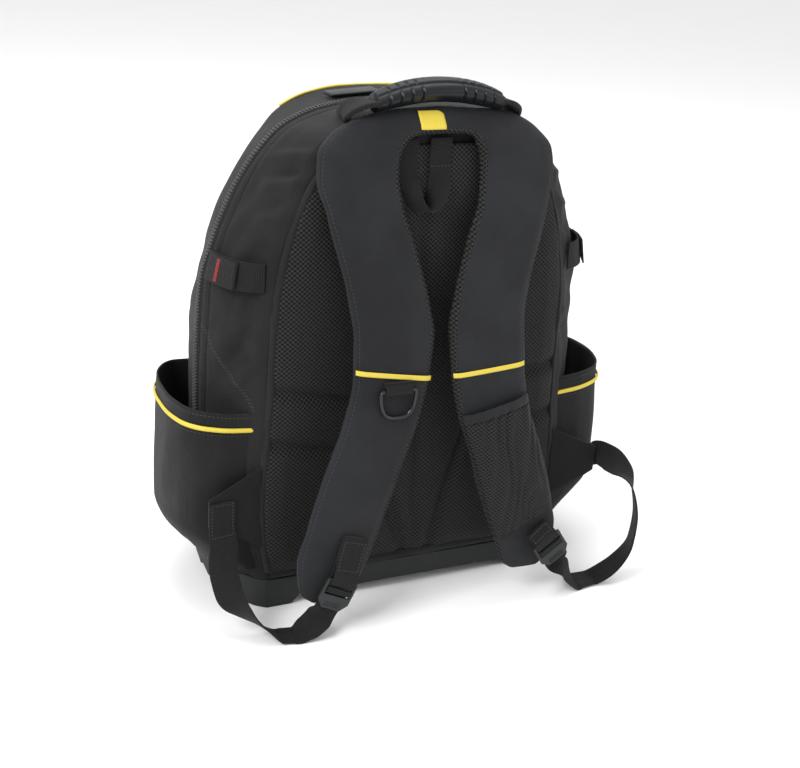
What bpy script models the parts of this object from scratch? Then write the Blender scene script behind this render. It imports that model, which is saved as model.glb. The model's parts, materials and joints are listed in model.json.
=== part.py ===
"""Tool backpack standing on its moulded base.

The wearer's side, with the mesh back panel and the shoulder straps, looks along -Y.
Heights are measured from the floor and depths from the flat back of the bag.
"""
import math

import bmesh
import bpy
import numpy as np
from mathutils import Euler, Matrix, Vector

# Driving dimensions, in metres
BODY_HALF = 0.188          # half the width of the bag at its belly
BODY_DEPTH = 0.200         # flat back to front panel
BODY_HEIGHT = 0.420        # base rim to the top of the bag
WALL = 0.002               # coated polyester with its foam and lining
GAP = 0.0003               # clearance between sewn pieces

BASE_HEIGHT = 0.030        # floor to the rim of the moulded base
BASE_WALL = 0.003
FOOT_HEIGHT = 0.0095
FOOT_CHAMFER = 0.008
FEET_APART = 0.210         # clear width between the feet, across the back
FEET_SIDE_FROM = 0.045     # clear stretch between the feet, along the side
FEET_SIDE_TO = 0.092

ZIP_DEPTH = 0.060          # the zip runs round the bag at this depth
ZIP_WIDTH = 0.009
SLIDER_SIZE = (0.010, 0.012, 0.004)
SLIDER_ACROSS = -0.018
PULL_SIZE = (0.046, 0.020, 0.003)
PULL_ACROSS = -0.040
PULL_DEPTH = 0.089
TOP_PIPING_DEPTH = 0.126
TOP_PIPING_HALF = 0.092
PIPING_RADIUS = 0.0013

PAD_THICKNESS = 0.0075     # air mesh over foam
PAD_MARGIN = 0.005
PAD_DROP = 0.026           # top of the bag to the pad's top edge
PAD_RISE = 0.0085          # base rim to the pad's lower edge

YOKE_DROP = 0.052          # top of the bag to where a shoulder strap leaves the yoke
STRAP_END = 0.030          # floor to the strap's lower end
STRAP_SPREAD = 0.100       # centre line of the bag to centre line of the strap's end
STRAP_HALF = 0.037
STRAP_BOW = 0.054          # how far the strap stands off the back
STRAP_THICKNESS = 0.0095
YOKE_THICKNESS = 0.008
YOKE_HEIGHT = 0.0585
STRIPE_HEIGHT = 0.2355     # yellow band across each strap
STRIPE_WIDTH = 0.005
STRIPE_THICKNESS = 0.001
TAB_WIDTH = 0.023
TAB_THICKNESS = 0.001

WEBBING_WIDTH = 0.025
WEBBING_THICKNESS = 0.0015
HAUL_WIDTH = 0.020
HAUL_ACROSS = -0.0125      # middle of the haul loop
HAUL_APART = 0.0155        # from there to each leg's centre line
HAUL_STAND = 0.0155        # how far its fold stands off the back
HAUL_RISE = 0.026          # upper ends of the straps to the loop's seam
HAUL_DROP = 0.054          # from its seam to its fold
LOOP_OUT = 0.205           # how far an adjuster loop swings out
LOOP_REACH = 0.066         # how far it reaches behind the back
LOOP_RISE = 0.118          # where it is sewn to its wing

GRIP_HALF = 0.058
GRIP_STAND = 0.0105        # top of the bag to the centre of the grip at its ends
GRIP_RISE = 0.0100
GRIP_DEEP = 0.028
GRIP_TALL = 0.015
GRIP_BACK = 0.002          # depth of the grip's centre line
GRIP_TAPER = 0.22          # share of its section that the grip loses at its ends
GRIP_SQUARE = 0.12         # share of its depth that its section loses at its corners
ANCHOR_WIDTH = 0.022
ANCHOR_THICKNESS = 0.003
ANCHOR_STEP = 0.020        # grip's end to the anchor's seam, across
ANCHOR_DEPTH = 0.016       # depth of the anchor's seam

POCKET_OUT = 0.031         # bag's belly to the side pocket's outside
POCKET_LENGTH = 0.146
POCKET_REAR = 0.006
POCKET_BOTTOM = 0.040
POCKET_RIM = 0.192
POCKET_RIM_RISE = 0.008
POCKET_WALL = 0.0018
POCKET_SEAT = 0.0012       # clear of the bag's side
PIPING_DROP = 0.012
PIPING_WIDTH = 0.004
PIPING_THICKNESS = 0.0011

WING_OUT = 0.196
WING_SEAM = 0.002          # how far the wing is sewn in past the back's edge
WING_TOP = 0.146
WING_BOTTOM = 0.066
WING_TIP_TOP = 0.122
WING_TIP_BOTTOM = 0.097
WING_BACK = 0.006          # how far the wing's tip stands behind the back

SIDE_STRAP_HEIGHT = 0.315
SIDE_STRAP_STAND = 0.014

PHONE_TOP = 0.200
PHONE_BOTTOM = 0.080
PHONE_BULGE = 0.009
PHONE_EDGE = 0.93          # share of the strap's half width that the pocket covers
PHONE_WALL = 0.0012
PHONE_BAND = 0.008

BUCKLE_WIDTH = 0.031
BUCKLE_LENGTH = 0.020
BUCKLE_THICKNESS = 0.003
BUCKLE_TAB = 0.007
BUCKLE_BAR = 0.003
BUCKLE_SLOT = 0.004
BUCKLE_CLEAR = WEBBING_WIDTH / 2 + 0.0005
BUCKLE_STAND = 0.0085      # how far a buckle stands off its strap

RING_HALF = 0.0167         # centre line of the ring's wire, half across
RING_DROP = 0.0245
RING_WIRE = 0.0017
RING_PLAY = 0.0004
RING_ACROSS = -0.0435
KEEPER_WIDTH = 0.0285
KEEPER_RISE = 0.0075       # ring's straight bar to the keeper's top
KEEPER_CLEAR = 0.001       # from there to the yellow band
KEEPER_THICKNESS = 0.0012

# The arch of the bag, one half, from the base rim up and over to the centre line.
# Columns: height, then half width at the back, at the belly and at the front.
ARCH = [
    (0.000, 0.770, 0.926, 0.840),
    (0.100, 0.812, 0.955, 0.848),
    (0.200, 0.828, 0.978, 0.852),
    (0.405, 0.803, 1.000, 0.845),
    (0.620, 0.787, 0.985, 0.775),
    (0.726, 0.755, 0.925, 0.700),
    (0.845, 0.676, 0.810, 0.570),
    (0.910, 0.600, 0.708, 0.470),
    (0.952, 0.520, 0.610, 0.390),
    (0.985, 0.370, 0.430, 0.270),
    (0.998, 0.190, 0.220, 0.140),
    (1.000, 0.000, 0.000, 0.000),
]
# Sections of the bag from back to front.
# Columns: depth, form (0 back, 1 belly, 2 front), width, drop of the top.
SECTIONS = [
    (0.000, 0.00, 0.955, 0.030),
    (0.035, 0.08, 1.000, 0.006),
    (0.150, 0.65, 1.000, 0.000),
    (0.300, 1.00, 1.000, 0.000),
    (0.475, 1.20, 1.000, 0.000),
    (0.620, 1.45, 1.000, 0.000),
    (0.760, 1.75, 1.000, 0.018),
    (0.890, 2.00, 0.985, 0.043),
    (0.965, 2.00, 0.930, 0.083),
    (1.000, 2.00, 0.830, 0.138),
]
# Fullness of the back pad by height and across, with its sewn channels.
PAD_HEIGHTS = [
    (0.00, 0.55), (0.04, 0.90), (0.28, 1.00), (0.33, 0.55), (0.38, 1.00),
    (0.43, 1.00), (0.48, 0.55), (0.53, 1.00), (0.78, 0.80), (0.90, 0.50), (1.00, 0.40),
]
PAD_ACROSS = [
    (0.00, 0.55), (0.08, 0.50), (0.16, 1.00), (0.50, 1.00), (0.84, 1.00), (0.95, 0.75), (1.00, 0.35),
]
# A shoulder strap from the yoke down.
# Columns: drop, place of its centre line, half width, stand off from the back.
STRAP = [
    (0.000, 0.745, 1.000, 0.330),
    (0.062, 0.700, 0.965, 0.444),
    (0.149, 0.600, 0.985, 0.556),
    (0.265, 0.490, 1.000, 0.685),
    (0.351, 0.450, 1.000, 0.778),
    (0.440, 0.460, 0.985, 0.852),
    (0.557, 0.550, 0.970, 0.907),
    (0.692, 0.730, 0.985, 0.944),
    (0.805, 0.860, 0.970, 0.981),
    (0.886, 0.950, 0.930, 1.000),
    (0.954, 0.990, 0.760, 0.990),
    (1.000, 1.000, 0.420, 0.975),
]
# Section of the padded straps. Columns: across, depth below the face.
PAD_SECTION = [
    (-1.00, 0.50), (-0.93, 0.18), (-0.60, 0.02), (0.00, 0.00), (0.60, 0.02), (0.93, 0.18),
    (1.00, 0.50), (0.93, 0.82), (0.60, 0.98), (0.00, 1.00), (-0.60, 0.98), (-0.93, 0.82),
]
# The yoke from one strap over the top of the keyhole, as shares of half a yoke's width and height.
# Columns: turn, inner across, inner up, outer across, outer up, inner stand off, outer stand off.
YOKE = [
    (0.00, 0.336, 0.000, 1.000, 0.000, 0.98, 0.98),
    (0.25, 0.345, 0.300, 0.975, 0.330, 0.92, 0.72),
    (0.50, 0.310, 0.560, 0.800, 0.740, 0.85, 0.10),
    (0.75, 0.165, 0.665, 0.430, 0.960, 0.80, -0.10),
    (1.00, 0.000, 0.690, 0.000, 1.000, 0.78, -0.10),
]
# Plan of a side pocket. Columns: along the side, how far out.
POCKET_PLAN = [
    (0.000, 0.00), (0.004, 0.38), (0.060, 0.74), (0.160, 0.90), (0.330, 1.00),
    (0.500, 0.99), (0.680, 0.88), (0.850, 0.64), (0.960, 0.34), (1.000, 0.00),
]
# Fullness of a side pocket by height.
POCKET_HEIGHTS = [
    (0.00, 0.42), (0.06, 0.66), (0.15, 0.84), (0.28, 0.96), (0.50, 1.00), (0.80, 1.00), (1.00, 0.97),
]
# Fullness of the phone pocket by height.
PHONE_HEIGHTS = [
    (0.00, 0.45), (0.25, 0.83), (0.54, 1.00), (0.80, 0.90), (1.00, 0.59),
]
# Haul loop from its seam round its fold and back up.
# Columns: across, stand off and drop as shares of the loop's, then the way its width lies.
HAUL = [
    (-1.000, 0.335, 0.000, 1.0, 0.0, 0.0),
    (-1.000, 0.400, 0.407, 1.0, 0.0, 0.0),
    (-0.742, 0.806, 0.796, 0.7, -0.8, 0.1),
    (-0.032, 1.000, 1.000, 0.4, -1.0, 0.3),
    (0.677, 0.806, 0.796, 0.7, -0.8, -0.1),
    (1.000, 0.400, 0.407, 1.0, 0.0, 0.0),
    (1.000, 0.335, 0.000, 1.0, 0.0, 0.0),
]
# Handle anchor from the grip's end to its seam. Columns: across, depth and fall as shares.
ANCHOR = [
    (0.03, 0.00, 0.00),
    (0.25, 0.00, 0.00),
    (0.80, 0.50, 0.16),
    (1.00, 1.00, 0.90),
    (1.00, 1.00, 1.00),
]
# Side strap from the zip back to the corner seam, and the free tab over it.
# Columns: depth as a share of the zip's, stand off as a share of the strap's.
SIDE_STRAP = [(0.883, 0.00), (0.567, 0.22), (0.300, 0.58), (0.117, 0.38), (0.067, 0.07)]
SIDE_TAB = [(0.800, 0.00), (0.567, 0.22), (0.233, 0.80)]


def read(rows, place):
    """Columns of a table at any place in its first column, on a smooth curve through its rows."""
    table = np.array(rows, dtype=float)
    knots = table[:, 0]
    values = table[:, 1:]
    steps = np.diff(knots)[:, None]
    slopes = np.diff(values, axis=0) / steps
    tangents = np.vstack([slopes[:1], np.zeros_like(slopes[1:]), slopes[-1:]])
    same_way = slopes[:-1] * slopes[1:] > 0
    mean = np.zeros_like(slopes[1:])
    np.divide(2 * slopes[:-1] * slopes[1:], slopes[:-1] + slopes[1:], out=mean, where=same_way)
    tangents[1:-1] = mean
    place = min(max(place, knots[0]), knots[-1])
    row = min(int(np.searchsorted(knots, place, side="right")) - 1, len(knots) - 2)
    step = steps[row, 0]
    t = (place - knots[row]) / step
    return ((2 * t**3 - 3 * t**2 + 1) * values[row] + (t**3 - 2 * t**2 + t) * step * tangents[row]
            + (3 * t**2 - 2 * t**3) * values[row + 1] + (t**3 - t**2) * step * tangents[row + 1])


def arch_line(depth, turns=21):
    """Half of the bag's outline at a depth, as (across, height) from the base rim to the top."""
    form, width, drop = read(SECTIONS, depth / BODY_DEPTH)
    numbered = [(row, *columns) for row, columns in enumerate(ARCH)]
    line = []
    for turn in np.linspace(0, len(ARCH) - 1, turns):
        height, back, belly, front = read(numbered, turn)
        share = back + (belly - back) * form if form < 1 else belly + (front - belly) * (form - 1)
        line.append((BODY_HALF * width * share, BASE_HEIGHT + GAP + BODY_HEIGHT * (1 - drop) * height))
    return line


def body_half(depth, height):
    """Half width of the bag at a depth and a height."""
    line = arch_line(depth, 45)
    return float(np.interp(height, [z for x, z in line], [x for x, z in line]))


def body_top(depth, across):
    """Height of the top of the bag at a depth, above a place across it."""
    upper = [point for point in arch_line(depth, 45) if point[1] > BASE_HEIGHT + BODY_HEIGHT * 0.6]
    return float(np.interp(abs(across), [x for x, z in upper][::-1], [z for x, z in upper][::-1]))


def body_loop(depth):
    """Closed outline of the bag at a depth: up one side, over the top, down the other, along the floor."""
    half = arch_line(depth)
    loop = [(x, depth, z) for x, z in half]
    loop += [(-x, depth, z) for x, z in reversed(half[:-1])]
    floor = half[0][0]
    loop += [(floor * share, depth, half[0][1]) for share in (-0.5, 0.0, 0.5)]
    return loop


body_middle = (0.0, BODY_DEPTH / 2, BASE_HEIGHT + BODY_HEIGHT / 2)
bag_top = BASE_HEIGHT + BODY_HEIGHT
strap_top = bag_top - YOKE_DROP
strap_drop = strap_top - STRAP_END
grip_height = bag_top + GRIP_STAND
pocket_half = BODY_HALF + POCKET_OUT
ring_height = STRIPE_HEIGHT - STRIPE_WIDTH / 2 - KEEPER_CLEAR - KEEPER_RISE
reach = LOOP_REACH + WEBBING_WIDTH / 2

for old in list(bpy.data.objects):
    bpy.data.objects.remove(old, do_unlink=True)
collection = bpy.data.collections.new("tool_backpack")
cutters = bpy.data.collections.new("cutters")
for group in (collection, cutters):
    bpy.context.scene.collection.children.link(group)
# The bag's own frame: the middle of its whole depth stands over the origin
frame = bpy.data.objects.new("pack_frame", None)
frame.location = (0.0, (reach - BODY_DEPTH) / 2, 0.0)
collection.objects.link(frame)


def make_material(name, colour, roughness, metallic=0.0):
    material = bpy.data.materials.new(name)
    material.use_nodes = True
    shader = material.node_tree.nodes["Principled BSDF"]
    shader.inputs["Base Color"].default_value = (*colour, 1.0)
    shader.inputs["Roughness"].default_value = roughness
    shader.inputs["Metallic"].default_value = metallic
    return material


def place(name, mesh, colour, roughness, metallic=0.0, location=(0, 0, 0)):
    """Put a mesh or curve in the bag's frame as a named piece with its own material."""
    piece = bpy.data.objects.new(name, mesh)
    piece.data.materials.append(make_material(name, colour, roughness, metallic))
    piece.location = location
    piece.parent = frame
    collection.objects.link(piece)
    return piece


def mesh_from(bm, name, away_from=None):
    """Finish a bmesh: merged, facing outwards, or away from a point where it is open."""
    bmesh.ops.remove_doubles(bm, verts=bm.verts, dist=1e-6)
    bmesh.ops.recalc_face_normals(bm, faces=bm.faces)
    if away_from is not None:
        centre = Vector(away_from)
        facing = sum(f.normal.dot(f.calc_center_median() - centre) * f.calc_area() for f in bm.faces)
        if facing < 0:
            bmesh.ops.reverse_faces(bm, faces=bm.faces)
    mesh = bpy.data.meshes.new(name)
    bm.to_mesh(mesh)
    bm.free()
    return mesh


def skin(rows, closed=False, capped=False):
    """Faces between rows of points, each row closed into a loop or left open, with flat ends if wanted."""
    bm = bmesh.new()
    lines = [[bm.verts.new(point) for point in row] for row in rows]
    count = len(lines[0])
    for low, high in zip(lines, lines[1:]):
        for i in range(count if closed else count - 1):
            bm.faces.new((low[i], low[(i + 1) % count], high[(i + 1) % count], high[i]))
    if capped:
        bm.faces.new(lines[0])
        bm.faces.new(lines[-1])
    return bm


def thicken(piece, thickness, outwards=False):
    """Give an open surface its wall, on its inner side or on its outer."""
    solidify = piece.modifiers.new("wall", "SOLIDIFY")
    solidify.thickness = thickness
    solidify.offset = 1.0 if outwards else -1.0
    solidify.use_even_offset = True
    return piece


def ribbon(rows, width, thickness, steps):
    """Closed band of webbing. Columns: x, y, z, then the way its width lies; some steps from row to row."""
    numbered = [(row, *columns) for row, columns in enumerate(rows)]
    last = (len(rows) - 1) * steps
    path = [read(numbered, place_on / steps) for place_on in range(last + 1)]
    loops = []
    for i, columns in enumerate(path):
        ahead = Vector(path[min(i + 1, last)][:3]) - Vector(path[max(i - 1, 0)][:3])
        across = Vector(columns[3:6])
        across = (across - across.project(ahead)).normalized()
        facing = ahead.cross(across).normalized()
        centre = Vector(columns[:3])
        loops.append([centre + across * (width / 2 * a) + facing * (thickness / 2 * f)
                      for a, f in ((-1, -1), (1, -1), (1, 1), (-1, 1))])
    return skin(loops, closed=True, capped=True)


def mirrored(rows, side):
    """A ribbon's rows for one side of the bag: x places and x directions change sign."""
    return [(x * side, y, z, ax * side, ay, az) for x, y, z, ax, ay, az in rows]


def boolean(piece, cutter, operation):
    cut = piece.modifiers.new(operation.lower(), "BOOLEAN")
    cut.operation = operation
    cut.solver = "EXACT"
    cut.object = cutter


def make_cutter(name, bm):
    cutter = bpy.data.objects.new(name, mesh_from(bm, name))
    cutter.parent = frame
    cutter.hide_render = True
    cutter.display_type = "WIRE"
    cutters.objects.link(cutter)
    return cutter


# Moulded base: a tub with four corner feet, under the whole bag
def plan_loop(height, inset):
    """Plan of the bag at its base rim, drawn in by an inset, at a height."""
    depths = [share * BODY_DEPTH for share in
              (0.0, 0.035, 0.09, 0.15, 0.225, 0.30, 0.45, 0.62, 0.76, 0.89, 0.965, 1.0)]
    side = [(body_half(y, BASE_HEIGHT + GAP) - inset, inset + y * (1 - 2 * inset / BODY_DEPTH)) for y in depths]
    return [(x, y, height) for x, y in side] + [(-x, y, height) for x, y in reversed(side)]


def tunnel(size_low, size_high, centre, top):
    """Cutter for the clear stretch between feet, wider at the floor by the feet's chamfer."""
    below = -FOOT_CHAMFER
    rows = []
    for height, (wide, deep) in ((below, size_low), (0.0, size_low), (top, size_high)):
        rows.append([(centre[0] + wide / 2 * a, centre[1] + deep / 2 * b, height)
                     for a, b in ((-1, -1), (1, -1), (1, 1), (-1, 1))])
    return skin(rows, closed=True, capped=True)


base = place("moulded_base", mesh_from(skin(
    [plan_loop(0.0, BASE_WALL / 2), plan_loop(FOOT_HEIGHT, 0.0), plan_loop(BASE_HEIGHT, 0.0)],
    closed=True, capped=True), "moulded_base"), (0.035, 0.038, 0.038), 0.55)
inside = [plan_loop(FOOT_HEIGHT + BASE_WALL, 2 * BASE_WALL), plan_loop(BASE_HEIGHT + GAP, BASE_WALL)]
boolean(base, make_cutter("tub_inside", skin(inside, closed=True, capped=True)), "DIFFERENCE")
past = 3 * BODY_DEPTH
boolean(base, make_cutter("back_to_front", tunnel(
    (FEET_APART + 2 * FOOT_CHAMFER, past), (FEET_APART, past), (0.0, BODY_DEPTH / 2), FOOT_HEIGHT)), "DIFFERENCE")
side_clear = FEET_SIDE_TO - FEET_SIDE_FROM
boolean(base, make_cutter("side_to_side", tunnel(
    (past, side_clear + 2 * FOOT_CHAMFER), (past, side_clear),
    (0.0, (FEET_SIDE_FROM + FEET_SIDE_TO) / 2), FOOT_HEIGHT)), "DIFFERENCE")

# Bag: a back half and a front half, each open towards the other, with the zip's band between them
BACK_HALF = (0.000, 0.012, 0.035, 0.060, 0.090, 0.120, 0.150, 0.210)
FRONT_HALF = (0.475, 0.620, 0.760, 0.830, 0.890, 0.935, 0.965, 1.000)
zip_back = ZIP_DEPTH - ZIP_WIDTH / 2
zip_front = ZIP_DEPTH + ZIP_WIDTH / 2


def drawn_in(loop, wall, depth):
    """A closed outline moved inwards by a wall, at another depth."""
    moved = []
    for i, (x, y, z) in enumerate(loop):
        before = loop[i - 1]
        after = loop[(i + 1) % len(loop)]
        inwards = Vector((before[2] - after[2], 0.0, after[0] - before[0])).normalized()
        moved.append((x + inwards.x * wall, depth, z + inwards.z * wall))
    return moved


def half_bag(name, depths):
    """One half of the bag, from its flat end to its open end, with a wall all round."""
    flat, mouth = depths[0], depths[-1]
    shrink = 1.0 - WALL / abs(mouth - flat)
    outside = [body_loop(depth) for depth in depths]
    inside = [drawn_in(body_loop(depth), WALL, mouth + (depth - mouth) * shrink) for depth in reversed(depths)]
    mesh = mesh_from(skin(outside + inside, closed=True, capped=True), name)
    return place(name, mesh, (0.018, 0.019, 0.021), 0.8)


half_bag("back_body", [share * BODY_DEPTH for share in BACK_HALF] + [zip_back - GAP])
half_bag("front_body", [share * BODY_DEPTH for share in reversed(FRONT_HALF)] + [zip_front + GAP])
band = [body_loop(zip_back), body_loop(zip_front)]
band += [drawn_in(loop, WALL, loop[0][1]) for loop in reversed(band)]
place("zip_band", mesh_from(skin(band + band[:1], closed=True), "zip_band"), (0.012, 0.012, 0.013), 0.6)


def plate(name, size, centre, bevel, colour, roughness, turn=(0, 0, 0)):
    bm = bmesh.new()
    bmesh.ops.create_cube(bm, size=1.0)
    bmesh.ops.scale(bm, vec=size, verts=bm.verts)
    piece = place(name, mesh_from(bm, name), colour, roughness, location=centre)
    piece.rotation_euler = turn
    edge = piece.modifiers.new("edges", "BEVEL")
    edge.width = bevel
    edge.segments = 1
    return piece


slider_seat = body_top(ZIP_DEPTH, SLIDER_ACROSS) + GAP + SLIDER_SIZE[2] / 2
plate("zip_slider", SLIDER_SIZE, (SLIDER_ACROSS, ZIP_DEPTH, slider_seat), 0.001, (0.02, 0.021, 0.022), 0.4)
pull_slope = math.atan2(body_top(PULL_DEPTH, PULL_ACROSS + PULL_SIZE[0] / 2)
                        - body_top(PULL_DEPTH, PULL_ACROSS - PULL_SIZE[0] / 2), PULL_SIZE[0])
pull_seat = body_top(PULL_DEPTH, PULL_ACROSS) + 2 * GAP + PULL_SIZE[2] / 2
plate("zip_pull", PULL_SIZE, (PULL_ACROSS, PULL_DEPTH, pull_seat), 0.0012, (0.03, 0.032, 0.032), 0.5,
      (0.0, -pull_slope, 0.0))


def tube(name, points, radius, colour, roughness, closed=False, sides=2):
    """Round rod along points, made a mesh with its caps welded."""
    curve = bpy.data.curves.new(name + "_line", "CURVE")
    curve.dimensions = "3D"
    spline = curve.splines.new("POLY")
    spline.points.add(len(points) - 1)
    for point, co in zip(spline.points, points):
        point.co = (*co, 1.0)
    spline.use_cyclic_u = closed
    curve.bevel_depth = radius
    curve.bevel_resolution = sides
    curve.use_fill_caps = not closed
    line = bpy.data.objects.new(name + "_line", curve)
    bpy.context.scene.collection.objects.link(line)
    evaluated = line.evaluated_get(bpy.context.evaluated_depsgraph_get())
    bm = bmesh.new()
    flat = bpy.data.meshes.new_from_object(evaluated)
    bm.from_mesh(flat)
    bpy.data.objects.remove(line, do_unlink=True)
    bpy.data.curves.remove(curve)
    bpy.data.meshes.remove(flat)
    return place(name, mesh_from(bm, name), colour, roughness)


def over_top(depth, across, lift):
    """Point above the top of the bag, square to its slope."""
    step = 0.002
    rise = body_top(depth, across + step) - body_top(depth, across - step)
    away = Vector((-rise, 0.0, 2 * step)).normalized()
    return Vector((across, depth, body_top(depth, across))) + away * lift


tube("top_piping", [over_top(TOP_PIPING_DEPTH, TOP_PIPING_HALF * share, PIPING_RADIUS + 2 * GAP)
                    for share in np.linspace(-1, 1, 19)],
     PIPING_RADIUS, (0.85, 0.70, 0.06), 0.5, sides=1)

# Back panel: air mesh over foam, thinner along its sewn channels and at its edge
pad_rows = []
pad_bottom = BASE_HEIGHT + PAD_RISE
pad_top = bag_top - PAD_DROP
for share, full in PAD_HEIGHTS:
    z = pad_bottom + (pad_top - pad_bottom) * share
    half = body_half(0.0, z) - PAD_MARGIN
    line = [(-a, f) for a, f in reversed(PAD_ACROSS)] + PAD_ACROSS[1:]
    row = [(half * a, -GAP - PAD_THICKNESS * f * full, z) for a, f in line]
    pad_rows.append(row + [(half, -GAP, z), (-half, -GAP, z)])
place("back_panel", mesh_from(skin(pad_rows, closed=True, capped=True), "back_panel"),
      (0.010, 0.010, 0.011), 0.95)


# Shoulder straps and the yoke that joins them over the keyhole
def padded_loop(inner, outer, facing, thickness):
    """Section of a padded strap between its two edges, with its face turned to facing."""
    middle = (inner + outer) / 2
    across = (outer - inner) / 2
    square = (facing - facing.project(across)).normalized()
    return [middle + across * a - square * (thickness * d) for a, d in PAD_SECTION]


def strap_section(share):
    """Centre line, half width and face of a strap at a share of its drop."""
    spread, half, bow = read(STRAP, share)
    return STRAP_SPREAD * spread, STRAP_HALF * half, -STRAP_BOW * bow, strap_top - strap_drop * share


def strap_face(side, height, across, lift):
    """Point off a strap's face, at a height and a share of its half width, lifted towards the wearer."""
    centre, half, y, z = strap_section((strap_top - height) / strap_drop)
    below = np.interp(abs(across), [a for a, d in PAD_SECTION[3:7]], [d for a, d in PAD_SECTION[3:7]])
    return Vector((side * (centre + half * across), y + below * STRAP_THICKNESS - lift, z))


STRAP_STATIONS = [0.0, 0.06, 0.15, 0.25, 0.35, 0.44, 0.55, 0.65, 0.75, 0.83, 0.90, 0.95, 0.98, 1.0]
towards_wearer = Vector((0.0, -1.0, 0.0))
for side_name, side in (("left", -1), ("right", 1)):
    loops = []
    for share in STRAP_STATIONS:
        centre, half, y, z = strap_section(share)
        inner = Vector((side * (centre - half), y, z))
        outer = Vector((side * (centre + half), y, z))
        loops.append(padded_loop(inner, outer, towards_wearer, STRAP_THICKNESS))
    place("shoulder_strap_" + side_name, mesh_from(skin(loops, closed=True, capped=True), "strap"),
          (0.020, 0.021, 0.024), 0.8)

strap_centre, strap_half, strap_y, strap_z = strap_section(0.0)
yoke_half = strap_centre + strap_half
yoke_stand = -strap_y / YOKE[0][5]
yoke_bottom = strap_top + GAP
yoke_loops = []
for turn in np.linspace(-1.0, 1.0, 17):
    in_x, in_z, out_x, out_z, in_y, out_y = read(YOKE, 1.0 - abs(turn))
    side = math.copysign(1.0, turn)
    inner = Vector((side * yoke_half * in_x, -yoke_stand * in_y, yoke_bottom + YOKE_HEIGHT * in_z))
    outer = Vector((side * yoke_half * out_x, -yoke_stand * out_y, yoke_bottom + YOKE_HEIGHT * out_z))
    lean = 1.0 - abs(turn)
    thickness = STRAP_THICKNESS + (YOKE_THICKNESS - STRAP_THICKNESS) * lean
    yoke_loops.append(padded_loop(inner, outer, Vector((0.0, -1.0, 0.75 * lean)), thickness))
place("shoulder_yoke", mesh_from(skin(yoke_loops, closed=True, capped=True), "shoulder_yoke"),
      (0.020, 0.021, 0.024), 0.8)

# Yellow bands across the straps and the yellow tab over the keyhole
for side_name, side in (("left", -1), ("right", 1)):
    rows = [[strap_face(side, STRIPE_HEIGHT + STRIPE_WIDTH * up, across, 2 * GAP)
             for across in (-0.97, -0.93, -0.6, 0.0, 0.6, 0.93, 0.97)] for up in (-0.5, 0.5)]
    bm = skin(rows)
    thicken(place("strap_stripe_" + side_name, mesh_from(bm, "stripe", (0.0, BODY_DEPTH, STRIPE_HEIGHT)),
                  (0.85, 0.70, 0.06), 0.6), STRIPE_THICKNESS, outwards=True)


def yoke_face(across, share, lift):
    """Point off the yoke's face near its middle, at a share of the way from its inner edge to its outer."""
    in_x, in_z, out_x, out_z, in_y, out_y = read(YOKE, 1.0)
    inner = Vector((across, -yoke_stand * in_y, yoke_bottom + YOKE_HEIGHT * in_z))
    outer = Vector((across, -yoke_stand * out_y, yoke_bottom + YOKE_HEIGHT * out_z))
    facing = Vector((0.0, -1.0, 0.75))
    square = (facing - facing.project(outer - inner)).normalized()
    return inner.lerp(outer, share) + square * lift


tab_rows = [[yoke_face(TAB_WIDTH * a, share, 2 * GAP) for a in (-0.5, 0.0, 0.5)] for share in (0.10, 0.50, 0.92)]
thicken(place("yellow_tab", mesh_from(skin(tab_rows), "yellow_tab", (0.0, BODY_DEPTH, 0.0)),
              (0.85, 0.70, 0.06), 0.6), TAB_THICKNESS, outwards=True)

# Haul loop: webbing sewn under the yoke, hanging in the keyhole with its fold at the bottom
haul = [(HAUL_ACROSS + HAUL_APART * x, -HAUL_STAND * y, strap_top + HAUL_RISE - HAUL_DROP * z, ax, ay, az)
        for x, y, z, ax, ay, az in HAUL]
place("haul_loop", mesh_from(ribbon(haul, HAUL_WIDTH, WEBBING_THICKNESS, 3), "haul_loop"),
      (0.016, 0.016, 0.015), 0.85)

# Carrying handle: a moulded grip arched between two webbing anchors
grip_loops = []
for share in np.linspace(-1.0, 1.0, 13):
    full = 1.0 - GRIP_TAPER * share**4
    centre = Vector((GRIP_HALF * share, GRIP_BACK, grip_height + GRIP_RISE * (1 - share**2)))
    loop = []
    for a in np.linspace(0, 2 * math.pi, 14, endpoint=False):
        deep = GRIP_DEEP / 2 * full * math.cos(a) * (1 - GRIP_SQUARE * math.sin(2 * a)**2)
        loop.append(centre + Vector((0.0, deep, GRIP_TALL / 2 * full * math.sin(a))))
    grip_loops.append(loop)
place("handle_grip", mesh_from(skin(grip_loops, closed=True, capped=True), "handle_grip"),
      (0.012, 0.014, 0.016), 0.35)
anchor_foot = GRIP_HALF + ANCHOR_STEP
foot_depth = ANCHOR_DEPTH + ANCHOR_WIDTH / 2
anchor_seat = max(body_top(foot_depth - ANCHOR_WIDTH * share, anchor_foot - ANCHOR_THICKNESS)
                  for share in (0.0, 0.5, 1.0)) + 2 * GAP
for side_name, side in (("left", -1), ("right", 1)):
    anchor = [(GRIP_HALF + ANCHOR_STEP * x, GRIP_BACK + (ANCHOR_DEPTH - GRIP_BACK) * y,
               grip_height + (anchor_seat - grip_height) * z, 0.0, 1.0, 0.0) for x, y, z in ANCHOR]
    place("handle_anchor_" + side_name, mesh_from(
        ribbon(mirrored(anchor, side), ANCHOR_WIDTH, ANCHOR_THICKNESS, 3), "anchor"),
        (0.016, 0.016, 0.015), 0.85)


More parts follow.
